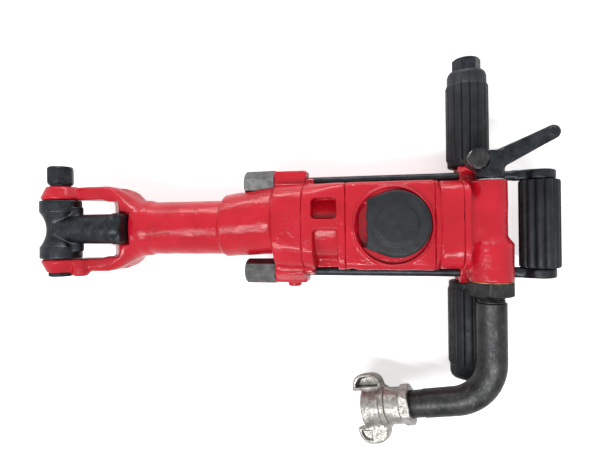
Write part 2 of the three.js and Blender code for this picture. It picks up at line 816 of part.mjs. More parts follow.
// Backhead: flange, body, cross tube of the throttle, cross boss of the T-handle and rod lugs
function backhead() {
  const flangeRear = rearHousingRear + backheadFlangeLength;
  const bodyBox = [-backBodyHalfWidth, backBodyHalfWidth, backBodyBottom, backBodyTop];
  const tailBox = [-backTailHalfWidth, backTailHalfWidth, backTailBottom, backTailTop];
  const [tubeAt, tAt] = [[throttleReach, throttleRise], [tHandleReach, tHandleRise]];
  const tubeOutline = taperedBar([-tubeFrontReach, 0], tubeRadius, [0, 0], tubeRadius);
  const shape = join(
    loft([
      { x: rearHousingRear, ring: roundedRing(...drumBox, drumCorner) },
      { x: flangeRear, ring: roundedRing(...drumBox, drumCorner) },
    ]),
    loft([
      { x: flangeRear - overrun, ring: roundedRing(...bodyBox, backBodyCorner) },
      { x: throttleReach, ring: roundedRing(...bodyBox, backBodyCorner) },
      { x: backheadRear, ring: roundedRing(...tailBox, backTailCorner) },
    ]),
    rodLugs(backLugRadius, backLugCorner, rearHousingRear, lugRear),
    turned('y', [
      [-tubeBottomReach, tubeWideRadius],
      [-tubeWideStart - tubeWideRamp, tubeWideRadius],
      [-tubeWideStart, tubeRadius],
    ], tubeAt),
    prism('y', tubeOutline, -tubeWideStart - overrun, tubeTopReach, tubeAt),
    rod('y', tBossRadius, seatGap - tGripStart, tGripStart - seatGap, tAt),
  );
  const spigotFloor = bushingSpigotLength - tubeBottomReach + seatGap;
  const aheadOfFlange = block(
    [0, rearHousingRear],
    [-2 * blockHalfWidth, 2 * blockHalfWidth],
    [2 * blockBottom, -2 * blockBottom],
  );
  return cut(
    shape,
    aheadOfFlange,
    rod('y', valveBoreRadius, -tubeBottomReach, valveTopReach + seatGap, tubeAt),
    rod('y', bushingSpigotRadius + slipGap, -tubeBottomReach - overrun, spigotFloor, tubeAt),
    rod('y', cornerRadiusOf(bushingAcross) + seatGap, -2 * tubeBottomReach, -tubeBottomReach, tubeAt),
    rod('y', valveStemRadius + seatGap, 0, tubeTopReach + overrun, tubeAt, smallSides),
    rod('y', tBoltRadius + seatGap, -2 * tGripStart, 2 * tGripStart, tAt, smallSides),
    rod('x', valvePortRadius, rearHousingRear - overrun, throttleReach, [0, throttleRise], smallSides),
    rod('z', detentRadius + seatGap, backBodyBottom - overrun, throttleRise, detentAt, smallSides),
    rod('z', detentPlugRadius + slipGap, backBodyBottom - overrun, detentPlugTop, detentAt, smallSides),
    ...rodHoles(rearHousingRear - overrun, lugRear + overrun),
    ...rodHoles(lugRear, backheadRear + overrun, rodShoulderRadius + seatGap),
  );
}
addPiece(drillLine, 'backhead', backhead(), redPaint);

// Throttle detent: plunger, spring and plug below the throttle valve
addPiece(drillLine, 'detent_plunger', turned('z', [
  [detentTop - detentLength, detentRadius],
  [detentTop - detentRadius, detentRadius],
  [detentTop - detentTipRadius, detentBevelRadius],
  [detentTop, detentTipRadius],
], detentAt, smallSides), hardSteel);
addPiece(drillLine, 'detent_spring', ring(
  'z',
  detentRadius,
  detentRadius - detentSpringWall,
  detentSpringTop - detentSpringLength,
  detentSpringTop,
  detentAt,
  smallSides,
), springSteel);
addPiece(drillLine, 'detent_plug', rod(
  'z',
  detentPlugRadius,
  backBodyBottom + seatGap,
  detentPlugTop - seatGap,
  detentAt,
  smallSides,
), blackOxide);

// Lubrication plug in the front head's lower lug
addPiece(drillLine, 'lube_plug', turned('y', [
  [-rodOffset - rodLugRadius - lubePlugHeight, lubePlugRadius / 2],
  [-rodOffset - rodLugRadius - lubePlugHeight / 2, lubePlugRadius],
  [lubePlugSeatDepth - rodOffset - rodLugRadius - seatGap, lubePlugRadius],
], [guideFront - lubePlugSetback, 0], smallSides), redPaint);

// Steel retainer: a waisted spool on the yoke's bolt with a stout stem
function steelRetainer() {
  const spoolHalf = yokeGapHalf - runGap;
  const waistHalf = spoolHalf - spoolEndWidth;
  const waistSag = spoolEndRadius - spoolWaistRadius;
  const waistArcRadius = (waistHalf ** 2 + waistSag ** 2) / (2 * waistSag);
  const waistSteps = 8;
  const waist = Array.from({ length: waistSteps + 1 }, (_, i) => {
    const y = waistHalf * ((2 * i) / waistSteps - 1);
    return [y, spoolWaistRadius + waistArcRadius - Math.sqrt(waistArcRadius ** 2 - y ** 2)];
  });
  const spool = turned('y', [
    [-spoolHalf, spoolEndRadius - spoolChamfer],
    [spoolChamfer - spoolHalf, spoolEndRadius],
    ...waist,
    [spoolHalf - spoolChamfer, spoolEndRadius],
    [spoolHalf, spoolEndRadius - spoolChamfer],
  ]);
  const ringStart = stemLength - stemTipLength - stemRingWidth;
  const stem = turned('x', [
    [0, stemRadius],
    [ringStart, stemRadius],
    [ringStart, stemRingRadius],
    [ringStart + stemRingWidth, stemRingRadius],
    [stemLength - stemTipBevel, stemTipRadius + stemTipBevel],
    [stemLength, stemTipRadius],
  ]);
  const stopLugs = [-1, 1].map((side) => {
    const span = [side * stopLugSpan, side * (stemRadius - overrun)].sort((a, b) => a - b);
    return rod('y', stopLugRadius, ...span, [stopLugReach, 0], smallSides);
  });
  return cut(
    join(spool, stem, ...stopLugs),
    rod('y', pivotBoltRadius + seatGap, -yokeHalfWidth, yokeHalfWidth, [0, 0], smallSides),
    rod('x', collarPathRadius, -2 * spoolEndRadius, 2 * stemLength, [0, -pivotRise]),
  );
}
addPiece(latchLine, 'steel_retainer', steelRetainer(), blackOxide);
const pivotHeadBase = yokeHalfWidth + slipGap;
const pivotHeadFrom = pivotHeadBase + pivotWasherHeight;
const pivotNutTop = -pivotHeadBase;
const pivotNutBottom = pivotNutTop - pivotNutHeight;
addPiece(latchLine, 'retainer_bolt', join(
  rod('y', pivotBoltRadius, pivotNutBottom, pivotHeadBase + overrun, [0, 0], smallSides),
  rod('y', pivotHeadAcross / 2 - edgeChamfer, pivotHeadBase, pivotHeadFrom + slipGap, [0, 0], smallSides),
  hexHead('y', pivotHeadAcross, pivotHeadFrom, pivotHeadFrom + pivotHeadHeight, { to: true }),
), blackOxide);
addPiece(latchLine, 'retainer_bolt_nut', cut(
  hexHead('y', pivotNutAcross, pivotNutBottom, pivotNutTop, { from: true }),
  rod('y', pivotBoltRadius + slipGap, -2 * yokeHalfWidth, 0, [0, 0], smallSides),
), blackOxide);

// Side rods with their long front nuts, shoulders and eyes
const eyeOuter = rodOffset + rodEyeThickness / 2;
const countersinkStart = eyeOuter - dBoltHeadRadius + dBoltRadius;
const countersink = turned('y', [
  [countersinkStart - slipGap, dBoltRadius + slipGap],
  [eyeOuter + slipGap, dBoltHeadRadius + 2 * slipGap],
], [dGripReach, 0], smallSides);
for (const [name, side] of [['upper', 1], ['lower', -1]]) {
  const at = [side * rodOffset, 0];
  const [eyeFrom, eyeTo] = [at[0] - rodEyeThickness / 2, at[0] + rodEyeThickness / 2];
  addPiece(drillLine, `side_rod_${name}`, cut(
    join(
      rod('x', rodRadius, nutFront, dGripReach - dBoltRadius, at, smallSides),
      rod('x', rodShoulderRadius, lugRear, lugRear + rodShoulderLength, at, smallSides),
      rod('y', rodEyeRadius, eyeFrom, eyeTo, [dGripReach, 0], smallSides),
    ),
    rod('y', dBoltRadius + slipGap, eyeFrom - overrun, eyeTo + overrun, [dGripReach, 0], smallSides),
    countersink,
  ), blackOxide);
  addPiece(drillLine, `rod_nut_${name}`, cut(
    hexHead('x', rodNutAcross, nutFront, headFlangeFront, { from: true }, at, quarterTurn / 3),
    rod('x', rodRadius + slipGap, nutFront - overrun, headFlangeFront + overrun, at, smallSides),
  ), greyNut);
}
addPiece(dLine, 'd_handle_bolt', join(
  rod('y', dBoltRadius, -eyeOuter, countersinkStart + slipGap, [0, 0], smallSides),
  turned('y', [[countersinkStart, dBoltRadius], [eyeOuter, dBoltHeadRadius]], [0, 0], smallSides),
), blackOxide);

// D-handle grip on its tube
const dGripHalf = rodOffset - rodRadius - seatGap;
const dTubeInner = dBoltRadius + slipGap;
const dTubeOuter = dTubeInner + dGripTubeWall;
addPiece(dLine, 'd_handle_tube', ring(
  'y',
  dTubeOuter,
  dTubeInner,
  -dGripHalf,
  dGripHalf,
  [0, 0],
  smallSides,
), blackOxide);
const dGripOutline = lobedRing(dGripRadius, dGripRibDepth, dGripRibs, ribPoints);
addPiece(dLine, 'd_handle_grip', cut(
  prism('y', dGripOutline, -dGripHalf, dGripHalf).intersect(turned('y', [
    [-dGripHalf, dGripRadius - dGripRibDepth],
    [dGripRibDepth - dGripHalf, dGripRadius],
    [dGripHalf - dGripRibDepth, dGripRadius],
    [dGripHalf, dGripRadius - dGripRibDepth],
  ])),
  rod('y', dTubeOuter + slipGap, -rodOffset, rodOffset, [0, 0], smallSides),
), blackRubber);

// T-handle: one long bolt through both grips and the backhead's cross boss
const tGripEnd = tGripStart + tGripLength;
const tTubeRadius = tBoltRadius + slipGap + tTubeWall;
const tPocketFloor = tGripEnd - tGripPocketDepth;
const tPocketRadius = cornerRadiusOf(tBoltHeadAcross) + seatGap;
const tGripOutline = lobedRing(tGripRadius, tGripRibDepth, tGripRibs, ribPoints);
for (const [name, side] of [['upper', 1], ['lower', -1]]) {
  const onSide = (...reaches) => reaches.map((y) => side * y).sort((a, b) => a - b);
  const profile = [
    [tGripStart, tGripCollarRadius - edgeChamfer],
    [tGripStart + edgeChamfer, tGripCollarRadius],
    [tGripStart + tGripCollar, tGripCollarRadius],
    [tGripEnd - tGripEndCollar, tGripCollarRadius],
    [tGripEnd - tGripEndBevel, tGripCollarRadius],
    [tGripEnd, tGripCollarRadius - tGripEndBevel],
  ].map(([y, radius]) => [side * y, radius]);
  const ribbed = onSide(tGripStart + tGripCollar, tGripEnd - tGripEndCollar);
  const hole = onSide(tGripStart - overrun, tGripEnd + overrun);
  const tubeSpan = onSide(tGripStart, side > 0 ? tGripEnd : tPocketFloor);
  const grip = cut(
    join(turned('y', profile), prism('y', tGripOutline, ...ribbed)),
    rod('y', tTubeRadius + slipGap, ...hole, [0, 0], smallSides),
  );
  const pocket = rod('y', tPocketRadius, -tGripEnd - overrun, -tPocketFloor, [0, 0], smallSides);
  addPiece(tLine, `t_grip_${name}`, side > 0 ? grip : cut(grip, pocket), blackRubber);
  addPiece(tLine, `t_grip_tube_${name}`, ring(
    'y',
    tTubeRadius,
    tBoltRadius + slipGap,
    ...tubeSpan,
    [0, 0],
    smallSides,
  ), blackOxide);
}
addPiece(tLine, 't_handle_bolt', join(
  rod('y', tBoltRadius, -tPocketFloor - tNutHeight - slipGap, tGripEnd + overrun, [0, 0], smallSides),
  hexHead('y', tBoltHeadAcross, tGripEnd + slipGap, tGripEnd + tBoltHeadHeight, { to: true }),
), blackOxide);
addPiece(tLine, 't_handle_nut', cut(
  hexHead('y', tBoltHeadAcross, -tPocketFloor - tNutHeight, -tPocketFloor - slipGap, { from: true }),
  rod('y', tBoltRadius + slipGap, -2 * tGripEnd, 0, [0, 0], smallSides),
), blackOxide);

// Throttle: hollow valve plug with its stem, lever, washer and pinch bolt
const [detentGrooveStart, detentGrooveEnd] = [detentReach - detentRadius, detentReach + detentRadius];
addPiece(throttleLine, 'throttle_valve', cut(
  turned('y', [
    [-valveBottomReach, valveRadius],
    [valveTopReach - seatGap, valveRadius],
    [valveTopReach - seatGap, valveStemRadius],
    [leverHubTop, valveStemRadius],
  ]),
  rod('y', valveCavityRadius, -valveBottomReach - overrun, valvePortRadius + overrun, [0, 0], smallSides),
  rod('x', valvePortRadius, -2 * valveRadius, 0, [0, 0], smallSides).rotate([0, -valveOpeningDegrees, 0]),
  ring('y', 2 * valveRadius, valveRadius - detentNotchDepth, detentGrooveStart, detentGrooveEnd),
), hardSteel);
addPiece(throttleLine, 'lever_washer', ring(
  'y',
  leverWasherRadius,
  valveStemRadius + seatGap,
  tubeTopReach + slipGap,
  tubeTopReach + slipGap + leverWasherThickness,
), hardSteel);

function throttleLever() {
  const hub = rod('y', leverHubRadius, leverHubBottom, leverHubTop);
  const armOutline = taperedBar([0, leverRootY], leverRootRadius, [leverTipX, leverTipY], leverTipRadius);
  const arm = prism('z', armOutline, -leverArmHalfThickness, leverArmHalfThickness);
  const pad = turned('z', [
    [0, leverPadRadius],
    [leverArmHalfThickness + leverPadHeight / 2, leverPadRadius],
    [leverArmHalfThickness + leverPadHeight, leverPadRadius / 2],
  ], [leverTipX, leverTipY], smallSides);
  const wide = 2 * leverHubRadius;
  const headRadius = cornerRadiusOf(pinchHeadAcross) + seatGap;
  return cut(
    join(hub, arm, pad, rod('z', pinchBossRadius, -pinchBossRear, pinchBossFront, pinchAt, smallSides)),
    rod('y', valveStemRadius + slipGap, 0, leverHubTop + overrun, [0, 0], smallSides),
    rod('z', pinchRadius + slipGap, -wide, wide, pinchAt, smallSides),
    rod('z', headRadius, pinchBossFront, wide, pinchAt, smallSides),
    block([-wide, 0], [0, 2 * leverHubTop], [-leverSlotWidth / 2, leverSlotWidth / 2]),
  );
}
addPiece(throttleLine, 'throttle_lever', throttleLever(), blackLever);
const pinchSeat = pinchBossFront + slipGap;
const pinchHeadBase = pinchSeat + pinchWasherThickness + slipGap;
addPiece(throttleLine, 'pinch_bolt', join(
  rod('z', pinchRadius, -pinchBossRear, pinchHeadBase + overrun, pinchAt, smallSides),
  hexHead('z', pinchHeadAcross, pinchHeadBase, pinchHeadBase + pinchHeadHeight, { to: true }, pinchAt),
), blackOxide);
addPiece(throttleLine, 'pinch_washer', ring(
  'z',
  pinchWasherRadius,
  pinchRadius + slipGap,
  pinchSeat,
  pinchSeat + pinchWasherThickness,
  pinchAt,
  smallSides,
), hardSteel);

// Inlet: gasket, hexagonal bushing and strainer, fixed in the backhead's tube
const gasketTop = -tubeBottomReach;
const bushingTop = gasketTop - gasketThickness;
const bushingBottom = bushingTop - bushingHexHeight;
const socketTop = bushingBottom + bushingSocketDepth;
addPiece(throttleLine, 'inlet_gasket', ring(
  'y',
  tubeWideRadius - gasketInset,
  bushingSpigotRadius + slipGap,
  bushingTop,
  gasketTop,
), brass);
addPiece(throttleLine, 'inlet_bushing', cut(
  join(
    rod('y', bushingSpigotRadius, bushingTop - overrun, gasketTop + bushingSpigotLength),
    hexHead('y', bushingAcross, bushingBottom, bushingTop, { from: true }, [0, 0], quarterTurn + pipeTilt),
  ),
  rod('y', bushingPassRadius, -2 * tubeBottomReach, 0, [0, 0], smallSides),
  rod('y', pipeThreadRadius + seatGap, bushingBottom - overrun, socketTop, [0, 0], smallSides),
), greyNut);
const strainerTop = gasketTop + bushingSpigotLength - seatGap;
const strainerBottom = strainerTop - strainerLength;
const strainerRadius = bushingPassRadius - seatGap;
const strainerInner = strainerRadius - strainerWall;
addPiece(throttleLine, 'inlet_strainer', cut(
  rod('y', strainerRadius, strainerBottom, strainerTop, [0, 0], smallSides),
  rod('y', strainerInner, strainerBottom - overrun, strainerTop - strainerWall, [0, 0], smallSides),
), brass);

// Gooseneck: down from the bushing, round its bend, then straight out to the coupling
class BentPath extends THREE.Curve {
  constructor(topReach, outletReach) {
    super();
    this.topReach = topReach;
    this.drop = outletCorner - bendSetback - topReach;
    this.bend = pipeBendAngle * pipeBendRadius;
    this.run = outletReach - bendSetback;
  }

  getPoint(share, target = new THREE.Vector3()) {
    const gone = share * (this.drop + this.bend + this.run);
    if (gone <= this.drop) {
      return target.set(0, -this.topReach - gone, 0);
    }
    const turn = Math.min((gone - this.drop) / pipeBendRadius, pipeBendAngle);
    const beyond = Math.max(gone - this.drop - this.bend, 0);
    return target.set(
      pipeBendRadius * (Math.cos(turn) - 1) - beyond * Math.sin(pipeBendAngle),
      bendSetback - outletCorner - pipeBendRadius * Math.sin(turn) - beyond * Math.cos(pipeBendAngle),
      0,
    );
  }
}
const bendSetback = pipeBendRadius * Math.tan(pipeBendAngle / 2);

function bentRod(radius, topReach, outletReach) {
  const circle = arc(0, 0, radius, 0, 4 * quarterTurn, pipeSides).slice(1);
  const section = new THREE.Shape(circle.map(([u, v]) => new THREE.Vector2(u, v)));
  return solidOf(new THREE.ExtrudeGeometry(section, {
    steps: pipeSteps,
    extrudePath: new BentPath(topReach, outletReach),
  }));
}

// A cone or cylinder along the outlet, from one reach to another, in the gooseneck's frame
function outletRod(radius, from, to) {
  const geometry = new THREE.CylinderGeometry(radius, radius, to - from, smallSides);
  geometry.translate(0, -(from + to) / 2, 0);
  geometry.rotateZ(-pipeBendAngle);
  geometry.translate(0, -outletCorner, 0);
  return solidOf(geometry);
}

const pipeTop = socketTop - seatGap;
const pipeEnd = couplingStart + pipeEndThreadLength;
const pipeShoulder = pipeThreadLength - bushingBottom;
addPiece(swivelLine, 'gooseneck', cut(
  join(
    bentRod(pipeRadius, pipeShoulder, couplingStart - pipeEndTaper),
    rod('y', pipeThreadRadius, -pipeShoulder - overrun, pipeTop, [0, 0], smallSides),
    outletRod(pipeEndThreadRadius, couplingStart - pipeEndTaper - overrun, pipeEnd),
  ),
  bentRod(pipeBoreRadius, -pipeTop - overrun, pipeEnd + overrun),
), pipeSteel);

// Claw coupling: hexagon, waist, ribbed body, face with its seal, and two hooked claws
function claw(side) {
  const rootU = couplingFaceReach - clawRootSetback;
  const heelU = couplingFaceReach - clawHeelSetback;
  const roundV = clawSpread - clawRound;
  const heel = (radius) => arc(heelU + clawRound, roundV, radius, 2 * quarterTurn, quarterTurn, cornerSteps);
  const toe = (radius) => arc(clawReach - clawRound, roundV, radius, quarterTurn, 0, cornerSteps);
  const place = ([u, v]) => [-u, side * v];
  const body = prism('z', [
    [rootU, 0],
    [rootU, clawRootSpread],
    ...heel(clawRound),
    ...toe(clawRound),
    [clawReach, clawLipSpread],
    [couplingFaceReach, clawLipSpread],
    [couplingFaceReach - overrun, 0],
  ].map(place), -clawHalfThickness, clawHalfThickness);
  const open = clawHalfThickness + overrun;
  const onFace = (depth, hand) => [hand * (clawHalfThickness - depth), hand * open].sort((a, b) => a - b);
  const inner = clawRound - clawRim;
  const backFrom = couplingFaceReach - clawRim;
  const backOutline = [[backFrom, roundV], [backFrom, roundV + inner], ...toe(inner)];
  return cut(
    body,
    prism('z', [...heel(inner), ...toe(inner)].map(place), ...onFace(clawPocketDepth, side)),
    prism('z', backOutline.map(place), ...onFace(clawBackPocketDepth, -side)),
  );
}

function clawCoupling() {
  const hexEnd = couplingStart + couplingHexLength;
  const neckEnd = hexEnd + couplingNeckLength;
  const body = turned('x', [
    [-hexEnd + overrun, couplingNeckRadius],
    [-neckEnd, couplingNeckRadius],
    [-neckEnd, couplingRibRadius],
    [-neckEnd - couplingRibWidth, couplingRibRadius],
    [-neckEnd - couplingRibWidth, couplingBodyRadius],
    [couplingRibWidth - couplingFaceReach, couplingBodyRadius],
    [couplingRibWidth / 2 - couplingFaceReach, couplingFaceRadius],
    [-couplingFaceReach, couplingFaceRadius],
  ]);
  const hex = hexHead('x', couplingHexAcross, -hexEnd, -couplingStart, { from: true, to: true });
  const sealFloor = couplingSealDepth - couplingFaceReach;
  const sealSeat = rod('x', couplingSealSeatRadius, -2 * clawReach, sealFloor, [0, 0], smallSides);
  return cut(
    join(body, join(hex, claw(1), claw(-1)).rotate([couplingRollDegrees, 0, 0])),
    sealSeat,
    rod('x', couplingBoreRadius, -2 * clawReach, 0, [0, 0], smallSides),
    rod('x', pipeEndThreadRadius + slipGap, -pipeEnd - seatGap, 0, [0, 0], smallSides),
  );
}
addPiece(outletLine, 'claw_coupling', clawCoupling(), zinc);
addPiece(outletLine, 'coupling_seal', ring(
  'x',
  couplingSealSeatRadius - slipGap,
  couplingBoreRadius,
  -couplingFaceReach - couplingSealProud,
  couplingSealDepth - couplingFaceReach,
  [0, 0],
  smallSides,
), blackRubber);

// Chuck: turns in its bushing; a hexagonal socket takes the drill steel
const driverFront = chuckRear - driverLength;
const shankEnd = chuckFront + shankDepth;
addPiece(drillLine, 'chuck', cut(
  turned('x', [
    [chuckFront, chuckRadius],
    [chuckFront + chuckBushingLength + seatGap, chuckRadius],
    [chuckFront + chuckBushingLength + seatGap, headBoreRadius - runGap],
    [chuckRear, headBoreRadius - runGap],
  ]),
  prism('x', hexagon(shankAcross), chuckFront - overrun, shankEnd),
  rod('x', chuckCavityRadius, shankEnd, driverFront + overrun),
  rod('x', driverRadius + slipGap, driverFront - slipGap, chuckRear + overrun),
), hardSteel);
addPiece(drillLine, 'chuck_bushing', ring(
  'x',
  headBoreRadius - slipGap,
  chuckBushingInner,
  chuckFront,
  chuckFront + chuckBushingLength,
), brass);
function pistonSpline(radius) {
  return lobedRing(radius, pistonSplineDepth, pistonSplineCount, 2 * splinePoints);
}
addPiece(drillLine, 'chuck_driver', cut(
  rod('x', driverRadius, driverFront, chuckRear),
  prism('x', pistonSpline(pistonStemRadius + seatGap), driverFront - overrun, chuckRear + overrun),
), hardSteel);
addPiece(drillLine, 'stem_bushing', cut(
  join(
    rod('x', stemBushingRadius, guideFront, guideBoreFront),
    rod('x', stemBushingFlangeRadius, guideBoreFront - stemBushingFlangeLength, guideBoreFront),
  ),
  rod('x', pistonStemRadius + seatGap, guideFront - overrun, cylinderFront),
), brass);

// A lobed bar that twists along its length, from one station along X to another
function twistedBar(radius, from, to) {
  const stations = Math.ceil((to - from) / rifleRingSpacing);
  return loft(Array.from({ length: stations + 1 }, (_, i) => {
    const x = from + ((to - from) * i) / stations;
    const turn = (4 * quarterTurn * x) / rifleLead;
    return { x, ring: lobedRing(radius, rifleLobeDepth, rifleLobes, splinePoints, turn) };
  }));
}

// Piston: head, long splined stem, and the bore that the rifle bar runs in
const rifleNutFront = pistonHeadRear - nutLength;
const splineRear = chuckRear + pistonStroke + overrun;
addPiece(drillLine, 'piston', cut(
  join(
    turned('x', [
      [pistonHeadFront, boreRadius - seatGap],
      [pistonHeadRear, boreRadius - seatGap],
    ]),
    rod('x', pistonStemRadius, splineRear, pistonHeadFront + overrun),
    prism('x', pistonSpline(pistonStemRadius), pistonStemFront, splineRear),
  ),
  rod('x', nutRadius + slipGap, rifleNutFront, pistonHeadRear + overrun),
  rod('x', rifleRadius + 2 * seatGap, rifleFront - overrun, rifleNutFront + overrun, [0, 0], smallSides),
), hardSteel);
addPiece(drillLine, 'rifle_nut', cut(
  rod('x', nutRadius, rifleNutFront, pistonHeadRear),
  twistedBar(rifleRadius + runGap, rifleNutFront - overrun, pistonHeadRear + overrun),
), brass);

// Rifle bar: twisted bar, neck, and a head with four pawl pockets
const rifleHeadFront = cylinderRearReach + seatGap;
const rifleHeadRear = rifleHeadFront + rifleHeadLength;
const pawlFront = rifleHeadFront + overrun + seatGap;
const rifleNeckRadius = rifleRadius - rifleLobeDepth;
function pawlOutline(turn, grown) {
  const along = turn + quarterTurn * pawlLeanShare;
  const root = [pawlSeatRadius * Math.cos(turn), pawlSeatRadius * Math.sin(turn)];
  const tip = [root[0] + pawlReach * Math.cos(along), root[1] + pawlReach * Math.sin(along)];
  return taperedBar(root, pawlRadius + grown, tip, pawlTipRadius + grown);
}
const pawlTurns = Array.from({ length: pawlCount }, (_, i) => (4 * quarterTurn * i) / pawlCount);
addPiece(drillLine, 'rifle_bar', cut(
  join(
    twistedBar(rifleRadius, rifleFront, chestFront - slipGap),
    rod('x', rifleNeckRadius, chestFront - overrun, rifleHeadFront + overrun, [0, 0], smallSides),
    rod('x', rifleHeadRadius, rifleHeadFront, rifleHeadRear),
  ),
  ...pawlTurns.map((turn) => {
    return prism('x', pawlOutline(turn, seatGap), pawlFront - seatGap, rifleHeadRear + overrun);
  }),
), hardSteel);
pawlTurns.forEach((turn, i) => {
  addPiece(
    drillLine,
    `pawl_${i + 1}`,
    prism('x', pawlOutline(turn, 0), pawlFront, rifleHeadRear),
    springSteel,
  );
});
const ratchetTeethOutline = Array.from({ length: ratchetTeeth }, (_, i) => {
  const [start, end] = [i, i + 1 - ratchetFlankShare].map((n) => (4 * quarterTurn * n) / ratchetTeeth);
  const root = ratchetInnerRadius + ratchetToothDepth;
  return [
    [ratchetInnerRadius * Math.cos(start), ratchetInnerRadius * Math.sin(start)],
    [root * Math.cos(end), root * Math.sin(end)],
  ];
}).flat();
const ratchetRear = rearHousingRear - overrun;
addPiece(drillLine, 'ratchet_ring', cut(
  rod('x', ratchetBoreRadius - slipGap, cylinderRearReach, ratchetRear),
  prism('x', ratchetTeethOutline, cylinderRearReach - overrun, ratchetRear + overrun),
), hardSteel);

// Valve chest in two halves with the ring valve between them
const chestMiddle = chestFront + chestPlateThickness;
const chestBore = rifleRadius + 2 * seatGap;
const chestHub = valveRingInner - seatGap;
const airHoles = [0, 1, 2, 3].map((n) => {
  const [y, z] = arc(0, 0, (valveRingInner + valveRingOuter) / 2, quarterTurn * n, quarterTurn * n, 1)[0];
  return rod('x', airHoleRadius, chestFront - overrun, cylinderRearReach + overrun, [y, z], airHoleSides);
});
addPiece(drillLine, 'valve_chest_front', cut(
  rod('x', chestRadius, chestFront, chestMiddle),
  rod('x', chestBore, chestFront - overrun, chestMiddle + overrun, [0, 0], smallSides),
  ...airHoles,
), hardSteel);
addPiece(drillLine, 'valve_chest_rear', cut(
  rod('x', chestRadius, chestMiddle, cylinderRearReach),
  ring('x', valveRingOuter + seatGap, chestHub, chestMiddle - overrun, chestMiddle + chestChamberLength),
  rod('x', chestBore, chestFront, cylinderRearReach + overrun, [0, 0], smallSides),
  ...airHoles,
), hardSteel);
addPiece(drillLine, 'ring_valve', ring(
  'x',
  valveRingOuter,
  valveRingInner,
  chestMiddle + seatGap,
  chestMiddle + seatGap + valveRingThickness,
), springSteel);

export default rockDrill;
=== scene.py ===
"""The looks of a pneumatic rock drill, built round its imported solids.

Shapes are written in millimetres in the drill's frame: X along the drill axis to the D-handle,
Y along the T-handle, and Z up from the drill axis. Pieces on the retainer, the throttle, the
handles and the inlet are written from a line of their own. A mesh is made in metres.
"""

import json
import math

import bmesh
import bpy
import numpy as np
from mathutils import Matrix, Vector


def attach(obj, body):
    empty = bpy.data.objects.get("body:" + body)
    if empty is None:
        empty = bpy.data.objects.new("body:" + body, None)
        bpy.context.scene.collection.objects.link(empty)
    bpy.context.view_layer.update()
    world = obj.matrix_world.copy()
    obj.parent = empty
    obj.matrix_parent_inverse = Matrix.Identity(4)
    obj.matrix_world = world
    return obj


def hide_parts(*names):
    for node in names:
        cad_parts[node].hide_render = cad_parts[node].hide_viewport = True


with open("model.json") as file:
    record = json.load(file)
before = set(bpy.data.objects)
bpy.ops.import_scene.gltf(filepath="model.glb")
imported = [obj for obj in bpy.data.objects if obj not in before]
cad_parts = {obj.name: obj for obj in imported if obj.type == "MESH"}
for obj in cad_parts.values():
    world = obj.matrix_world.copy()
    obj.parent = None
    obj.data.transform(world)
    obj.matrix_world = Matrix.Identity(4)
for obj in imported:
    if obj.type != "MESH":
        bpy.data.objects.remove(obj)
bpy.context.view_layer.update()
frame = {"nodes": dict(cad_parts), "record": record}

MM = 0.001
AXIS_HEIGHT = 46.0
SIDES = (("upper", 1), ("lower", -1))

# Stations along the drill axis
GAP_ROOT = -306.5
YOKE_ROOT = -290.0
NECK_START = -266.0
CHUCK_FRONT = -261.5
NECK_END = -178.0
BARREL_START = -175.0
ROD_FRONT = -154.0
FLANGE_FRONT = -121.0
FLANGE_FULL = -116.0
LUBE_PLUG = -102.0
GUIDE_FRONT = -87.4
EAR_REAR = -79.0
CYLINDER_FRONT = -44.5
CYLINDER_REAR = 38.0
REAR_HOUSING_REAR = 63.0
ROD_LUG_REAR = 78.0
BACKHEAD_REAR = 103.0

# Casting sections
NECK_RADIUS = 29.0
SHOULDER_LENGTH = 42.0
YOKE_HALF = 46.6
YOKE_CORNER = 7.0
YOKE_GAP_HALF = 31.7
BLOCK_HALF = 41.8
BLOCK_TOP = 42.0
BLOCK_BOTTOM = -45.7
REAR_HALF = 41.5
REAR_TOP = 41.7
REAR_CORNER = 18.0
RING_TOP = 48.0
CYLINDER_BORE = 29.35
ROD_OFFSET = 46.6
ROD_RADIUS = 4.7
ROD_BORE = 5.0

# Section of the seam between front head and guide housing, as a station for lofted()
GUIDE_SEAM = (GUIDE_FRONT, 43, 0, BLOCK_BOTTOM, 41, 26)

# Lines of the retainer, the throttle and the handles, as (x, z)
PIVOT = (-358.5, 30.0)
THROTTLE = (88.6, 22.0)
T_LINE = (76.5, -24.9)
D_LINE_X = 137.2

# The pinch bolt's line, as (x, y) from the throttle's line
PINCH = (-12, 60)

# The inlet. The pipe's two straight runs would meet at its corner, and reach on to its outlet
INLET_FACE = -52.4
GASKET_FACE = -53.2
INLET_TILT = math.radians(14)
OUTLET_TURN = math.radians(13)
OUTLET_CORNER = 161.4
OUTLET_REACH = 94
BEND_RADIUS = 43.0
BEND_ANGLE = math.radians(77)
BEND_SETBACK = BEND_RADIUS * math.tan(BEND_ANGLE / 2)
COUPLING_ROLL = math.radians(-12)


def at(x, y, z):
    return Matrix.Translation((x, y, z))


# The frames that the pieces are written in
DRILL_LINE = at(0, 0, AXIS_HEIGHT)
LATCH_LINE = DRILL_LINE @ at(PIVOT[0], 0, PIVOT[1])
THROTTLE_LINE = DRILL_LINE @ at(THROTTLE[0], 0, THROTTLE[1])
SWIVEL_LINE = THROTTLE_LINE @ Matrix.Rotation(-INLET_TILT, 4, "Y")
OUTLET_LINE = SWIVEL_LINE @ at(0, -OUTLET_CORNER, 0) @ Matrix.Rotation(OUTLET_TURN, 4, "Z")
T_HANDLE_LINE = DRILL_LINE @ at(T_LINE[0], 0, T_LINE[1])
D_HANDLE_LINE = DRILL_LINE @ at(D_LINE_X, 0, 0)


# Distance fields: arrays of signed distances, below zero inside


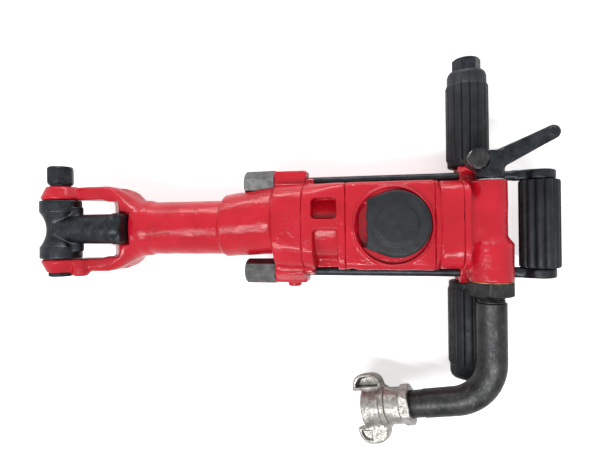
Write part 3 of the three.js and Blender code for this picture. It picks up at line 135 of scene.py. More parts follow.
def smooth_min(a, b, k):
    h = np.clip(0.5 + 0.5 * (b - a) / k, 0, 1)
    return b + (a - b) * h - k * h * (1 - h)


def smooth_max(a, b, k):
    return -smooth_min(-a, -b, k)


def join(k, first, *others):
    for other in others:
        first = smooth_min(first, other, k)
    return first


def carve(k, body, *tools):
    for tool in tools:
        body = smooth_max(body, -tool, k)
    return body


def slab(w, low, high):
    return np.abs(w - (low + high) / 2) - (high - low) / 2


def bar(u, v, w, radius, low, high):
    """A plain rod, for bores."""
    return np.maximum(np.hypot(u, v) - radius, slab(w, low, high))


def round_rod(u, v, w, radius, low, high, edge=1.5):
    return smooth_max(np.hypot(u, v) - radius, slab(w, low, high), edge)


def rect(u, v, half_u, half_v, corner):
    a, b = np.abs(u) - (half_u - corner), np.abs(v) - (half_v - corner)
    return np.hypot(np.maximum(a, 0), np.maximum(b, 0)) + np.minimum(np.maximum(a, b), 0) - corner


def section(y, z, half, bottom, top, corner):
    return rect(y, z - (bottom + top) / 2, half, (top - bottom) / 2, corner)


def lofted(x, y, z, stations):
    """Rectangles with round corners along X: stations of x, half width, middle, bottom, top, corner."""
    xs, *sizes = zip(*stations)
    half, middle, bottom, top, corner = (np.interp(x, xs, size) for size in sizes)
    return rect(y - middle, z - (bottom + top) / 2, half, (top - bottom) / 2, corner)


def arc(centre, radius, turns):
    return [(centre[0] + radius * math.cos(t), centre[1] + radius * math.sin(t)) for t in turns]


def taper(u, v, start, start_radius, end, end_radius):
    du, dv = end[0] - start[0], end[1] - start[1]
    share = np.clip(((u - start[0]) * du + (v - start[1]) * dv) / (du * du + dv * dv), 0, 1)
    reach = np.hypot(u - start[0] - share * du, v - start[1] - share * dv)
    return reach - start_radius - (end_radius - start_radius) * share


def polygon(u, v, corners):
    best = np.full(u.shape, 1e9, np.float32)
    inside = np.zeros(u.shape, bool)
    for (au, av), (bu, bv) in zip(corners, corners[1:] + corners[:1]):
        eu, ev = bu - au, bv - av
        share = np.clip(((u - au) * eu + (v - av) * ev) / (eu * eu + ev * ev), 0, 1)
        best = np.minimum(best, (u - au - share * eu) ** 2 + (v - av - share * ev) ** 2)
        if ev:
            inside ^= ((av > v) != (bv > v)) & (u < eu * (v - av) / ev + au)
    return np.where(inside, -1, 1) * np.sqrt(best)


def lumps(x, y, z, size):
    """The shallow unevenness of a sand casting."""
    return size * (
        np.sin(x / 5.3 + 1.7 * np.sin(y / 7.1)) * np.sin(y / 4.7 + 0.9)
        + np.sin(z / 5.9 + 1.3 * np.sin(x / 8.3)) * np.sin(x / 9.7 + y / 6.1)
    )


def solid(shape, low, high, pitch):
    """Points and quads of a field's zero surface, by surface nets and steps down the field."""
    axes = [np.arange(a - 2 * pitch, b + 3 * pitch, pitch, dtype=np.float32) for a, b in zip(low, high)]
    field = shape(*np.meshgrid(*axes, indexing="ij"))
    inside = field < 0

    # A point in each cell that the surface passes, in the middle of the cell's edge crossings
    cells = [n - 1 for n in field.shape]
    total = np.zeros(cells + [3], np.float32)
    hits = np.zeros(cells, np.float32)
    crossings = []
    for axis in range(3):
        one, two = (axis + 1) % 3, (axis + 2) % 3
        head = [slice(None)] * 3
        tail = [slice(None)] * 3
        head[axis], tail[axis] = slice(0, -1), slice(1, None)
        a, b = field[tuple(head)], field[tuple(tail)]
        cross = inside[tuple(head)] != inside[tuple(tail)]
        part = np.where(cross, a / np.where(cross, a - b, 1), 0)
        for i in (0, 1):
            for j in (0, 1):
                pick = [slice(None)] * 3
                pick[one] = slice(i, i + cells[one])
                pick[two] = slice(j, j + cells[two])
                met = cross[tuple(pick)]
                hits += met
                total[..., axis] += part[tuple(pick)]
                if i:
                    total[..., one] += met
                if j:
                    total[..., two] += met
        crossings.append((cross, inside[tuple(head)]))
    active = hits > 0
    number = np.full(cells, -1, np.int64)
    number[active] = np.arange(active.sum())
    where = np.argwhere(active)
    corner = np.array([axis[0] for axis in axes])
    points = corner + pitch * (where + total[active] / hits[active][:, None])

    # A quad across each grid edge that the surface crosses, joining the four cells round it
    quads = []
    for axis, (cross, low_inside) in enumerate(crossings):
        one, two = (axis + 1) % 3, (axis + 2) % 3
        edge = np.argwhere(cross)
        keep = (edge[:, one] > 0) & (edge[:, two] > 0)
        keep &= (edge[:, one] < cells[one]) & (edge[:, two] < cells[two])
        edge = edge[keep]
        ring = []
        for i, j in ((1, 1), (0, 1), (0, 0), (1, 0)):
            cell = edge.copy()
            cell[:, one] -= i
            cell[:, two] -= j
            ring.append(number[tuple(cell.T)])
        quad = np.stack(ring, 1)
        flip = ~low_inside[tuple(edge.T)]
        quad[flip] = quad[flip][:, ::-1]
        quads.append(quad)

    # Two steps down the field's slope, which sharpen the edges
    step = 0.25 * pitch
    for _ in range(2):
        value = shape(*points.T)
        slope = np.stack([
            shape(*(points + step * np.eye(3)[k]).T) - shape(*(points - step * np.eye(3)[k]).T)
            for k in range(3)
        ], 1) / (2 * step)
        size = np.maximum((slope ** 2).sum(1), 0.25)
        move = (value / size)[:, None] * slope
        points = points - np.clip(move, -pitch / 2, pitch / 2)
    return points, np.concatenate(quads)


# Skins: rings of points joined in order, for turned and swept pieces


def skin(rings, closed=False):
    """Points and quads through rings of equal length; its ends are capped unless it is closed."""
    rings = [np.asarray(r, float) for r in rings]
    count = len(rings[0])
    if not closed:
        rings = [np.repeat(rings[0].mean(0)[None], count, 0), *rings]
        rings.append(np.repeat(rings[-1].mean(0)[None], count, 0))
    points = np.concatenate(rings)
    here = np.arange(count)
    after = (here + 1) % count
    faces = []
    for r in range(len(rings) if closed else len(rings) - 1):
        low, high = r * count, (r + 1) % len(rings) * count
        faces.append(np.stack([low + here, low + after, high + after, high + here], 1))
    return points, np.concatenate(faces)


def circle_turns(count):
    return np.linspace(0, 2 * math.pi, count, endpoint=False)


AXES = {
    "x": lambda u, v, w: np.stack([w, u, v], -1),
    "y": lambda u, v, w: np.stack([u, w, v], -1),
    "z": lambda u, v, w: np.stack([u, v, w], -1),
}


def value_at(value, turns):
    return value(turns) if callable(value) else np.full(len(turns), float(value))


def turned(axis, profile, centre=(0, 0), sides=96, closed=False):
    """A profile of (along, radius) turned round an axis. The centre is (y, z), (x, z) or (x, y)."""
    turns = circle_turns(sides)
    rings = []
    for along, radius in profile:
        reach = value_at(radius, turns)
        u = centre[0] + reach * np.cos(turns)
        v = centre[1] + reach * np.sin(turns)
        rings.append(AXES[axis](u, v, value_at(along, turns)))
    return skin(rings, closed)


def tube(axis, outer, inner, low, high, centre=(0, 0), edge=0.3):
    return turned(axis, [
        (low, inner), (low, outer - edge), (low + edge, outer), (high - edge, outer),
        (high, outer - edge), (high, inner),
    ], centre, closed=True)


def hexagon(across, first=0.0, inset=0.0):
    """Reach of a hexagon's side, as a function of the turn, with a corner at the first turn."""
    return lambda t: (across / 2 - inset) / np.cos((t - first) % (math.pi / 3) - math.pi / 6)


def hex_profile(across, low, high, first=0.0, cone_low=False, cone_high=True, edge=0.35, cone=30):
    """Profile of a hexagonal head whose corners are turned off to a cone."""
    flat, full, brim = across / 2, hexagon(across, first), hexagon(across, first, edge)
    slope = math.tan(math.radians(cone))

    def drop(t):
        return np.maximum(full(t) - flat * 0.97, 0) * slope

    lower = [(low, brim), (low + edge, full)]
    if cone_low:
        lower = [(low, flat * 0.92), (low, flat * 0.97), (lambda t: low + drop(t), full)]
    upper = [(high - edge, full), (high, brim)]
    if cone_high:
        upper = [(lambda t: high - drop(t), full), (high, flat * 0.97), (high, flat * 0.92)]
    return lower + upper


def hex_nut(axis, across, bore, low, high, centre=(0, 0), first=0.0):
    """A nut whose corners are turned off to a cone at its low end."""
    profile = [(low, bore), *hex_profile(across, low, high, first, True, False), (high, bore)]
    return turned(axis, profile, centre, closed=True)


def thread(radius, depth, pitch, low, high):
    """Profile of a helical thread, which fades out at both ends."""
    profile = []
    steps = int((high - low) / pitch * 6)
    for along in np.linspace(low, high, steps + 1):
        fade = min(1.0, (high - along) / pitch, (along - low) / pitch)

        def reach(t, along=along, fade=fade):
            phase = (along / pitch - t / (2 * math.pi)) % 1.0
            return radius - depth * fade * np.abs(2 * phase - 1)

        profile.append((along, reach))
    return profile


def sweep(route, profile, sides=64):
    """A closed skin of (along, radius) rings round a route in the XY plane."""
    turns = circle_turns(sides)
    rings = []
    for along, radius in profile:
        point, forward = route(along)
        across = np.array([-forward[1], forward[0], 0.0])
        reach = value_at(radius, turns)[:, None]
        up = np.array([0.0, 0.0, 1.0])
        rings.append(point + reach * (np.cos(turns)[:, None] * up + np.sin(turns)[:, None] * across))
    return skin(rings, closed=True)


def piece(name, shape, body, node, slot, line=DRILL_LINE, sharp=None, look=None):
    """One named piece of the scene, which rides on a body and stands for a CAD node.

    A shape is (points, quads), written from a line. The look is that of the slot unless one is given,
    and edges steeper than sharp degrees stay crisp.
    """
    points, quads = shape
    turn = np.array(line.to_3x3())
    points = points @ turn.T + np.array(line.translation)
    mesh = bpy.data.meshes.new(name)
    mesh.vertices.add(len(points))
    mesh.vertices.foreach_set("co", (points * MM).astype(np.float32).ravel())
    mesh.loops.add(quads.size)
    mesh.loops.foreach_set("vertex_index", quads.ravel().astype(np.int32))
    mesh.polygons.add(len(quads))
    mesh.polygons.foreach_set("loop_start", np.arange(0, quads.size, 4, dtype=np.int32))
    mesh.update(calc_edges=True)
    mesh.validate()
    work = bmesh.new()
    work.from_mesh(mesh)
    bmesh.ops.remove_doubles(work, verts=work.verts, dist=1e-7)
    bmesh.ops.dissolve_degenerate(work, dist=1e-7, edges=work.edges)
    bmesh.ops.recalc_face_normals(work, faces=work.faces)
    work.to_mesh(mesh)
    work.free()
    mesh.shade_smooth()
    if sharp is not None:
        mesh.set_sharp_from_angle(angle=math.radians(sharp))
    mesh.materials.append(LOOKS[look or slot])
    thing = bpy.data.objects.new(name, mesh)
    bpy.context.scene.collection.objects.link(thing)
    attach(thing, body)
    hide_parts(node)


# Materials: procedural, in object space, with constants on the shader's own sockets


class Finish:
    """A Principled shader with noise, wear and bump added to it."""

    def __init__(self, name, **sockets):
        self.material = bpy.data.materials.new(name)
        self.material.use_nodes = True
        self.tree = self.material.node_tree
        self.shader = self.tree.nodes["Principled BSDF"]
        for socket, value in sockets.items():
            self.shader.inputs[socket.replace("_", " ")].default_value = value
        self.place = self.node("ShaderNodeTexCoord").outputs["Object"]
        self.body = None
        self.bumped = None

    def node(self, kind, **inputs):
        made = self.tree.nodes.new(kind)
        for socket, value in inputs.items():
            self.feed(made.inputs[socket.replace("_", " ")], value)
        return made

    def feed(self, socket, value):
        if isinstance(value, bpy.types.NodeSocket):
            self.tree.links.new(value, socket)
        else:
            socket.default_value = value

    def noise(self, size, detail=3.0, roughness=0.5, stretch=None):
        """Noise whose features are about a size in millimetres."""
        place = self.place
        if stretch:
            spread = self.node("ShaderNodeMapping", Vector=self.place, Scale=stretch)
            place = spread.outputs["Vector"]
        made = self.node("ShaderNodeTexNoise", Vector=place, Scale=1 / (size * MM))
        made.inputs["Detail"].default_value = detail
        made.inputs["Roughness"].default_value = roughness
        return made.outputs["Fac"]

    def ramp(self, value, low, high, start=0.0, end=1.0):
        made = self.node("ShaderNodeMapRange", Value=value)
        for socket, number in zip(("From Min", "From Max", "To Min", "To Max"), (low, high, start, end)):
            made.inputs[socket].default_value = number
        return made.outputs["Result"]

    def times(self, a, b):
        made = self.tree.nodes.new("ShaderNodeMath")
        made.operation = "MULTIPLY"
        self.feed(made.inputs[0], a)
        self.feed(made.inputs[1], b)
        return made.outputs[0]

    def mix(self, share, a, b):
        made = self.tree.nodes.new("ShaderNodeMix")
        made.data_type = "RGBA"
        self.feed(made.inputs["Factor"], share)
        self.feed(made.inputs["A"], a)
        self.feed(made.inputs["B"], b)
        return made.outputs["Result"]

    def edges(self, low, high):
        """A share that rises over convex edges, or in hollows where high is below low."""
        geometry = self.node("ShaderNodeNewGeometry")
        return self.ramp(geometry.outputs["Pointiness"], low, high)

    def colour(self, value):
        self.body = value
        self.feed(self.shader.inputs["Base Color"], value)

    def mottle(self, noise, one, other, high=0.7):
        """Two colours that blend by a noise."""
        self.colour(self.mix(self.ramp(noise, 0.35, high), one, other))

    def cover(self, share, tone):
        """A colour laid over the others by a share."""
        self.colour(self.mix(share, self.body, tone))

    def rough(self, noise, start, end, high=0.7):
        """Roughness that wanders between two levels by a noise."""
        self.feed(self.shader.inputs["Roughness"], self.ramp(noise, 0.3, high, start, end))

    def bump(self, height, depth):
        """Height noise that moves the surface by up to a depth in millimetres."""
        made = self.node("ShaderNodeBump", Height=height, Strength=1.0, Distance=depth * MM)
        if self.bumped is not None:
            self.tree.links.new(self.bumped, made.inputs["Normal"])
        self.bumped = made.outputs["Normal"]
        self.tree.links.new(self.bumped, self.shader.inputs["Normal"])


def grey(level, tint=(1.0, 1.0, 1.0)):
    return tuple(level * t for t in tint) + (1.0,)


def red_paint():
    look = Finish("red_enamel", Roughness=0.2, Specular_IOR_Level=0.25, Coat_Weight=0.06,
                  Coat_Roughness=0.05)
    look.mottle(look.noise(26, 4), (0.44, 0.006, 0.016, 1.0), (0.54, 0.010, 0.026, 1.0))
    dust = look.ramp(look.noise(1.6, 4, 0.6), 0.64, 0.8, 0.0, 0.3)
    look.cover(dust, (0.26, 0.008, 0.013, 1.0))
    worn = look.times(look.edges(0.54, 0.62), look.ramp(look.noise(6, 4, 0.65), 0.56, 0.68))
    look.cover(worn, (0.10, 0.028, 0.026, 1.0))
    look.rough(look.noise(9, 4, 0.6), 0.04, 0.12, 0.75)
    look.bump(look.noise(9, 2), 0.5)
    look.bump(look.noise(3.2, 2, 0.5, (0.6, 1.0, 1.0)), 0.5)
    look.bump(look.noise(1.5, 2), 0.2)
    return look.material


def black_oxide():
    look = Finish("black_oxide_steel", Metallic=0.75, Roughness=0.36)
    bluish = (0.85, 1.0, 1.2)
    look.mottle(look.noise(9, 4), grey(0.014, bluish), grey(0.036, bluish))
    rubbed = look.ramp(look.noise(3, 4, 0.6), 0.58, 0.72, 0.0, 0.5)
    look.cover(rubbed, grey(0.09, (0.9, 1.0, 1.1)))
    look.rough(look.noise(4, 4, 0.6), 0.26, 0.46)
    look.bump(look.noise(2.5, 3, 0.55), 0.14)
    return look.material


def rubber():
    look = Finish("black_rubber", Roughness=0.5, Specular_IOR_Level=0.25)
    bluish = (0.84, 1.0, 1.2)
    look.mottle(look.noise(14, 5, 0.6), grey(0.007, bluish), grey(0.02, bluish))
    dust = look.ramp(look.noise(2.2, 5, 0.65), 0.58, 0.82, 0.0, 0.5)
    look.cover(dust, grey(0.045))
    look.rough(look.noise(5, 4, 0.6), 0.38, 0.62)
    look.bump(look.noise(0.9, 2), 0.06)
    look.bump(look.noise(11, 2), 0.25)
    return look.material


def nut_steel():
    look = Finish("grey_nut_steel", Metallic=0.8, Roughness=0.42)
    look.mottle(look.noise(7, 4, 0.6), grey(0.07), grey(0.14))
    scratch = look.ramp(look.noise(1.6, 3, 0.6, (0.2, 1.0, 1.0)), 0.62, 0.74, 0.0, 0.4)
    look.cover(scratch, grey(0.28))
    look.rough(look.noise(3, 4, 0.6), 0.36, 0.5)
    look.bump(look.noise(2.4, 3, 0.6), 0.08)
    return look.material


def pipe_steel():
    look = Finish("pipe_steel", Metallic=0.7, Roughness=0.42)
    look.mottle(look.noise(12, 5, 0.6), grey(0.015, (0.95, 1.0, 1.05)), grey(0.045))
    scuff = look.ramp(look.noise(3.4, 5, 0.7, (1.0, 0.3, 1.0)), 0.56, 0.74, 0.0, 0.6)
    look.cover(scuff, grey(0.12))
    look.rough(look.noise(4, 4, 0.6), 0.3, 0.52)
    look.bump(look.noise(2.2, 3, 0.6), 0.18)
    return look.material


def zinc():
    look = Finish("zinc_casting", Metallic=1.0, Roughness=0.36)
    look.mottle(look.noise(7, 4, 0.65), grey(0.22, (1.0, 0.97, 0.88)), grey(0.48, (1.0, 0.98, 0.93)), 0.65)
    grime = look.ramp(look.noise(2.2, 5, 0.7), 0.54, 0.72, 0.0, 0.75)
    look.cover(grime, grey(0.13, (1.0, 0.95, 0.85)))
    # Darker grey in the hollows, by their pointiness
    look.cover(look.edges(0.49, 0.43), grey(0.09))
    look.rough(look.noise(3, 4, 0.6), 0.24, 0.46)
    look.bump(look.noise(3.2, 3, 0.6), 0.7)
    look.bump(look.noise(1.1, 2), 0.16)
    return look.material


def brass():
    look = Finish("brass", Metallic=1.0, Roughness=0.34)
    look.mottle(look.noise(6, 4), (0.46, 0.28, 0.08, 1), (0.66, 0.44, 0.15, 1))
    tarnish = look.ramp(look.noise(2, 4), 0.55, 0.75, 0.0, 0.6)
    look.cover(tarnish, (0.20, 0.12, 0.05, 1))
    look.rough(look.noise(3, 4), 0.26, 0.46)
    look.bump(look.noise(1.6), 0.05)
    return look.material


def machined(name, low, high, tint=(1.0, 1.0, 1.0)):
    look = Finish(name, Metallic=1.0, Roughness=0.28)
    lines = look.noise(0.8, 2, 0.5, (1.0, 0.08, 0.08))
    look.mottle(look.noise(8, 4), grey(low, tint), grey(high, tint))
    look.cover(look.ramp(lines, 0.5, 0.7, 0.0, 0.4), grey(low * 0.6, tint))
    look.rough(look.noise(4, 4), 0.2, 0.38)
    look.bump(lines, 0.02)
    return look.material


LOOKS = {
    "red_paint": red_paint(),
    "black_rubber": rubber(),
    "black_oxide": black_oxide(),
    "black_lever": black_oxide(),
    "grey_nut": nut_steel(),
    "pipe_steel": pipe_steel(),
    "zinc_plate": zinc(),
    "brass": brass(),
    "hard_steel": machined("ground_steel", 0.30, 0.46),
    "spring_steel": machined("spring_steel", 0.20, 0.32, (1.0, 0.98, 0.94)),
}


# Castings and forgings, from distance fields


def yoke_arms(x, y, z):
    """Arms that spread from the neck, with bosses round the retainer's bolt and beside its nut."""
    spread = []
    for share in np.linspace(0, 1, 25):
        rise = (1 - math.cos(math.pi * share)) / 2
        half = NECK_RADIUS + (YOKE_HALF - NECK_RADIUS) * rise
        corner = NECK_RADIUS + (YOKE_CORNER - NECK_RADIUS) * rise
        spread.append((NECK_START - SHOULDER_LENGTH * share, half, 0, -NECK_RADIUS, NECK_RADIUS, corner))
    arms = lofted(x, y, z, spread[::-1])
    nose = arc(PIVOT, 14.5, np.linspace(math.pi / 2, 3 * math.pi / 2, 17))
    outline = [(NECK_START, -NECK_RADIUS), (NECK_START, NECK_RADIUS), (-308, NECK_RADIUS), *nose,
               (YOKE_ROOT + 12, -NECK_RADIUS)]
    arms = smooth_max(arms, polygon(x, z, outline), 5)
    px, pz, side = x - PIVOT[0], z - PIVOT[1], np.abs(y)
    flare = np.interp(side, (34.7, YOKE_HALF), (20, 14.5))
    boss = smooth_max(np.hypot(px, pz) - flare, slab(side, 20, YOKE_HALF), 1.5)
    lock = smooth_max(np.hypot(px - 22, pz + 2) - 9.2, slab(y, -YOKE_HALF - 4.6, -20), 5)
    return join(4, arms, boss, lock)


def yoke_gap(x, y, z):
    """The room between the arms, whose root slopes back towards the top."""
    gap = rect(x + 440, y, 440 + GAP_ROOT, YOKE_GAP_HALF, 6)
    slope = smooth_max(x - 0.9 * z - GAP_ROOT + 8, GAP_ROOT - 6 - x, 2)
    return smooth_min(gap, smooth_max(slope, np.abs(y) - YOKE_GAP_HALF + 2, 4), 3)


def stem_bed(x, y, z):
    """A half-round slot in the neck, open at the top, that the retainer's stem lies in."""
    slot = smooth_min(np.hypot(y, z - PIVOT[1]) - 17.3, np.maximum(np.abs(y) - 17.3, PIVOT[1] - z), 1)
    return np.maximum(slot, x + 278.6)


def front_head(x, y, z):
    body = lofted(x, y, z, [
        (YOKE_ROOT - 4, 26, 0, -26, 26, 26),
        (NECK_START, NECK_RADIUS, 0, -NECK_RADIUS, NECK_RADIUS, NECK_RADIUS),
        (NECK_END, NECK_RADIUS, 0, -NECK_RADIUS, NECK_RADIUS, NECK_RADIUS),
        (BARREL_START, 33.2, 1.8, -33.2, 33.2, 33.2),
        (FLANGE_FRONT, 36, 7.2, -36, 36, 36),
        (FLANGE_FULL, 43, 0, BLOCK_BOTTOM, 41, 30),
        GUIDE_SEAM,
    ])
    body = smooth_max(body, slab(x, YOKE_ROOT - 2, GUIDE_FRONT), 1.2)
    body = join(8, body, yoke_arms(x, y, z))
    body = carve(4, body, yoke_gap(x, y, z))
    body = carve(2.5, body, stem_bed(x, y, z))
    lugs = smooth_max(rect(y, z, ROD_OFFSET + 11.2, 11.2, 2.5), slab(x, FLANGE_FRONT, GUIDE_FRONT), 1.8)
    step = polygon(y, z, [(-20, -10), (-20, 24), (-48.5, 24), (-56.5, 10), (-56.5, -10)])
    step = smooth_max(step, slab(x, FLANGE_FRONT + 3, GUIDE_FRONT), 2.4)
    body = join(2.5, body, lugs, step) + lumps(x, y, z, 0.12)
    rods = np.hypot(np.abs(y) - ROD_OFFSET, z)
    nut_room = np.maximum(rods - 13.4, slab(x, ROD_FRONT - 4, FLANGE_FRONT))
    body = carve(0.8, body, nut_room)
    plug = bar(x - LUBE_PLUG, z, y, 7.2, -70, -52.8)
    bore = np.minimum(bar(y, z, x, 20.4, -320, -258), bar(y, z, x, 22.6, CHUCK_FRONT - 0.3, -80))
    bolt = bar(x - PIVOT[0], z - PIVOT[1], y, 7.8, -60, 60)
    return carve(0.6, body, bore, rods - ROD_BORE, plug, bolt)


def guide_housing(x, y, z):
    body = lofted(x, y, z, [
        GUIDE_SEAM,
        (CYLINDER_FRONT, BLOCK_HALF, 0, BLOCK_BOTTOM, BLOCK_TOP, 7),
    ])
    body = smooth_max(body, slab(x, GUIDE_FRONT, CYLINDER_FRONT), 1.2)
    ears = smooth_max(rect(y, z, 49.5, 12, 4), slab(x, GUIDE_FRONT, EAR_REAR), 1.6)
    step = polygon(y, z, [(-20, -10), (-20, 24), (-46, 24), (-48.5, 12), (-48.5, -10)])
    step = smooth_max(step, slab(x, GUIDE_FRONT, EAR_REAR), 1.6)
    body = join(2.5, body, ears, step) + lumps(x, y, z, 0.12)
    pockets = np.minimum(rect(x + 65.2, y - 17.2, 12.1, 10, 4), rect(x + 64, y + 33, 12, 30.2, 4))
    floor = smooth_max(6 - z, 33.5 - np.hypot(y, z), 1.5)
    body = carve(1.6, body, smooth_max(pockets, floor, 2))
    bore = np.minimum(bar(y, z, x, 21.15, -100, -44), bar(y, z, x, CYLINDER_BORE, -58.2, -40))
    return carve(0.6, body, bore, np.hypot(np.abs(y) - ROD_OFFSET, z) - ROD_BORE)


def cylinder(x, y, z):
    body = section(y, z, BLOCK_HALF, BLOCK_BOTTOM, BLOCK_TOP, 7)
    body = smooth_max(body, slab(x, CYLINDER_FRONT, CYLINDER_REAR), 2)
    scallop = bar(x + 38, y + 45.5, z, 5.2, 12, 60)
    ring = round_rod(x, y, z, 37, 30, RING_TOP, 1.6)
    body = join(3, carve(2, body, scallop), ring) + lumps(x, y, z, 0.1)
    recess = bar(x, y, z, 35.1, 43.6, 60)
    channel = np.maximum(rect(x + 16.5, y, 16.5, 20, 4), np.maximum(34 - z, np.hypot(x, y) - 34))
    port = bar(x, y, z, 15, 0, 60)
    return carve(0.6, carve(1.4, body, recess, channel), port, np.hypot(y, z) - CYLINDER_BORE)


def rear_housing(x, y, z):
    body = lofted(x, y, z, [
        (CYLINDER_REAR, REAR_HALF, 0, BLOCK_BOTTOM, REAR_TOP, 7),
        (CYLINDER_REAR + 5, REAR_HALF, 0, BLOCK_BOTTOM, REAR_TOP, REAR_CORNER),
        (REAR_HOUSING_REAR, REAR_HALF, 0, BLOCK_BOTTOM, REAR_TOP, REAR_CORNER),
    ])
    body = smooth_max(body, slab(x, CYLINDER_REAR, REAR_HOUSING_REAR), 0.5)
    groove = np.maximum(slab(x, 42.6, 43.8), -(body + 0.9))
    body = carve(0.8, body, groove) + lumps(x, y, z, 0.12)
    return carve(0.6, body, np.minimum(bar(y, z, x, 26.6, 30, 60), bar(y, z, x, 23.6, 30, 70)))


def backhead(x, y, z):
    tx, tz = x - THROTTLE[0], z - THROTTLE[1]
    flange = section(y, z, REAR_HALF, BLOCK_BOTTOM, REAR_TOP, REAR_CORNER)
    flange = smooth_max(flange, slab(x, REAR_HOUSING_REAR, 69), 0.7)
    body = lofted(x, y, z, [
        (REAR_HOUSING_REAR, 37, 0, -40, 34, 22),
        (THROTTLE[0], 37, 0, -40, 34, 22),
        (BACKHEAD_REAR, 30, 0, -36, 14, 14),
    ])
    body = smooth_max(body, slab(x, REAR_HOUSING_REAR, BACKHEAD_REAR), 3)
    lugs = taper(y, z, (-ROD_OFFSET, 0), 10.6, (ROD_OFFSET, 0), 10.6)
    lugs = smooth_max(lugs, slab(x, REAR_HOUSING_REAR, ROD_LUG_REAR), 1.6)
    wide = np.interp(y, (-18, -10.5), (20, 14.2))
    barrel = smooth_max(np.hypot(tx, tz) - wide, slab(y, INLET_FACE, 39.8), 1.2)
    front = smooth_max(rect(tx + 1.5, tz, 15.7, 14.2, 14.2), slab(y, -13, 39.8), 1.2)
    cross = round_rod(x - T_LINE[0], z - T_LINE[1], y, 14, -57.7, 57.7, 1.2)
    body = join(3.5, join(3, flange, body), join(3, barrel, front), lugs, cross) + lumps(x, y, z, 0.12)
    body = smooth_max(body, REAR_HOUSING_REAR - x, 1.0)
    valve_bore = bar(tx, tz, y, 10.7, -60, 33.3)
    shaft_bore = bar(tx, tz, y, 7.3, 0, 50)
    inlet_bore = bar(tx, tz, y, 14.15, -60, -41.1)
    inlet_room = bar(tx, tz, y, 23.2, -90, INLET_FACE)
    handle_bore = bar(x - T_LINE[0], z - T_LINE[1], y, 8.3, -90, 90)
    air_way = bar(y, tz, x, 5, 55, THROTTLE[0])
    detent_bore = bar(x - 90.8, y - 12, z, 2.9, -60, THROTTLE[1])
    rods = np.abs(y) - ROD_OFFSET
    shoulders = bar(rods, z, x, 6.7, ROD_LUG_REAR, 110)
    return carve(0.6, body, valve_bore, inlet_bore, inlet_room, shaft_bore, handle_bore, air_way,
                 detent_bore, np.hypot(rods, z) - ROD_BORE, shoulders)


def exhaust_cap(x, y, z):
    """A rubber cap, cut off straight on the side that the air leaves by."""
    outline = arc((3.4, 1.4), 30.9, np.linspace(-1.9, 1.9, 33)) + [(-24.9, 23.8), (-24.9, -21.0)]
    reach = np.hypot(x - 3.4, y - 1.4)
    crown = z - 51.4 + np.interp(reach, (0, 18, 21, 28, 31), (0.0, 0.0, 1.1, 1.4, 2.6))
    cap = smooth_max(smooth_max(polygon(x, y, outline), crown, 1.2), 43.6 - z, 0.3)
    ragged = 0.5 * np.sin(y / 2.3 + 1.1 * np.sin(y / 5.1)) + 0.25 * np.sin(y / 0.9)
    hollow = np.maximum(np.minimum(np.hypot(x, y) - 18, np.maximum(x, np.abs(y) - 15)), z - 48)
    return carve(0.5, smooth_max(cap, -24.2 + ragged - x, 1.0), hollow)


def lube_plug(x, y, z):
    along = x - LUBE_PLUG
    head = round_rod(along, z, y, 7, -62.4, -53.1, 2.2)
    return carve(0.4, head, np.maximum(rect(along, z, 2.6, 2.6, 0.4), y + 60.2))


def steel_retainer(x, y, z):
    """A waisted spool round the latch line, with a stout stem along X."""
    side, reach = np.abs(y), np.hypot(x, z)
    narrow, bend = 14.6, 29.9
    along = np.linspace(0, 18.9, 12)
    waist = np.interp(side, along, narrow + bend - np.sqrt(bend ** 2 - along ** 2))
    spool = smooth_max(reach - waist, side - 31.3, 1.6)
    stem = np.hypot(y, z) - np.interp(x, (64, 65.5, 70.5, 76, 78.5), (16, 16.9, 16.9, 15.2, 13))
    stem = smooth_max(stem, slab(x, 0, 78.5), 1.6)
    tip = smooth_max(rect(x - 75, y, 3.6, 15.6, 3), slab(z, -2, 12), 2)
    lugs = smooth_max(np.hypot(x - 17.6, z) - 8.4, side - 24, 1.6)
    body = join(1.4, spool, stem, lugs, tip) + lumps(x, y, z, 0.06)
    drill_steel = np.hypot(y, z + PIVOT[1]) - 19.5
    return carve(0.5, body, reach - 7.8, drill_steel)


def throttle_lever(x, y, z):
    tip = (53, 82.4)
    hub = round_rod(x, z, y, 12.8, 42.3, 67.4, 1.4)
    arm = smooth_max(taper(x, y, (0, 56.4), 8.8, tip, 6.4), np.abs(z) - 6.5, 2.4)
    pad = smooth_max(np.hypot(x - tip[0], y - tip[1]) - 4.4, slab(z, 0, 7.9), 1.0)
    pinch = np.hypot(x - PINCH[0], y - PINCH[1])
    boss = smooth_max(pinch - 9.2, slab(z, -9, 8.7), 1.2)
    body = join(2.5, hub, arm, boss)
    body = join(0.8, body, pad) + lumps(x, y, z, 0.07)
    body = carve(0.5, body, np.maximum(pinch - 9.4, 8.75 - z))
    slot = np.maximum(np.abs(z) - 1.2, x)
    return carve(0.4, body, slot, bar(x, z, y, 7.15, 35, 80), pinch - 4.15)


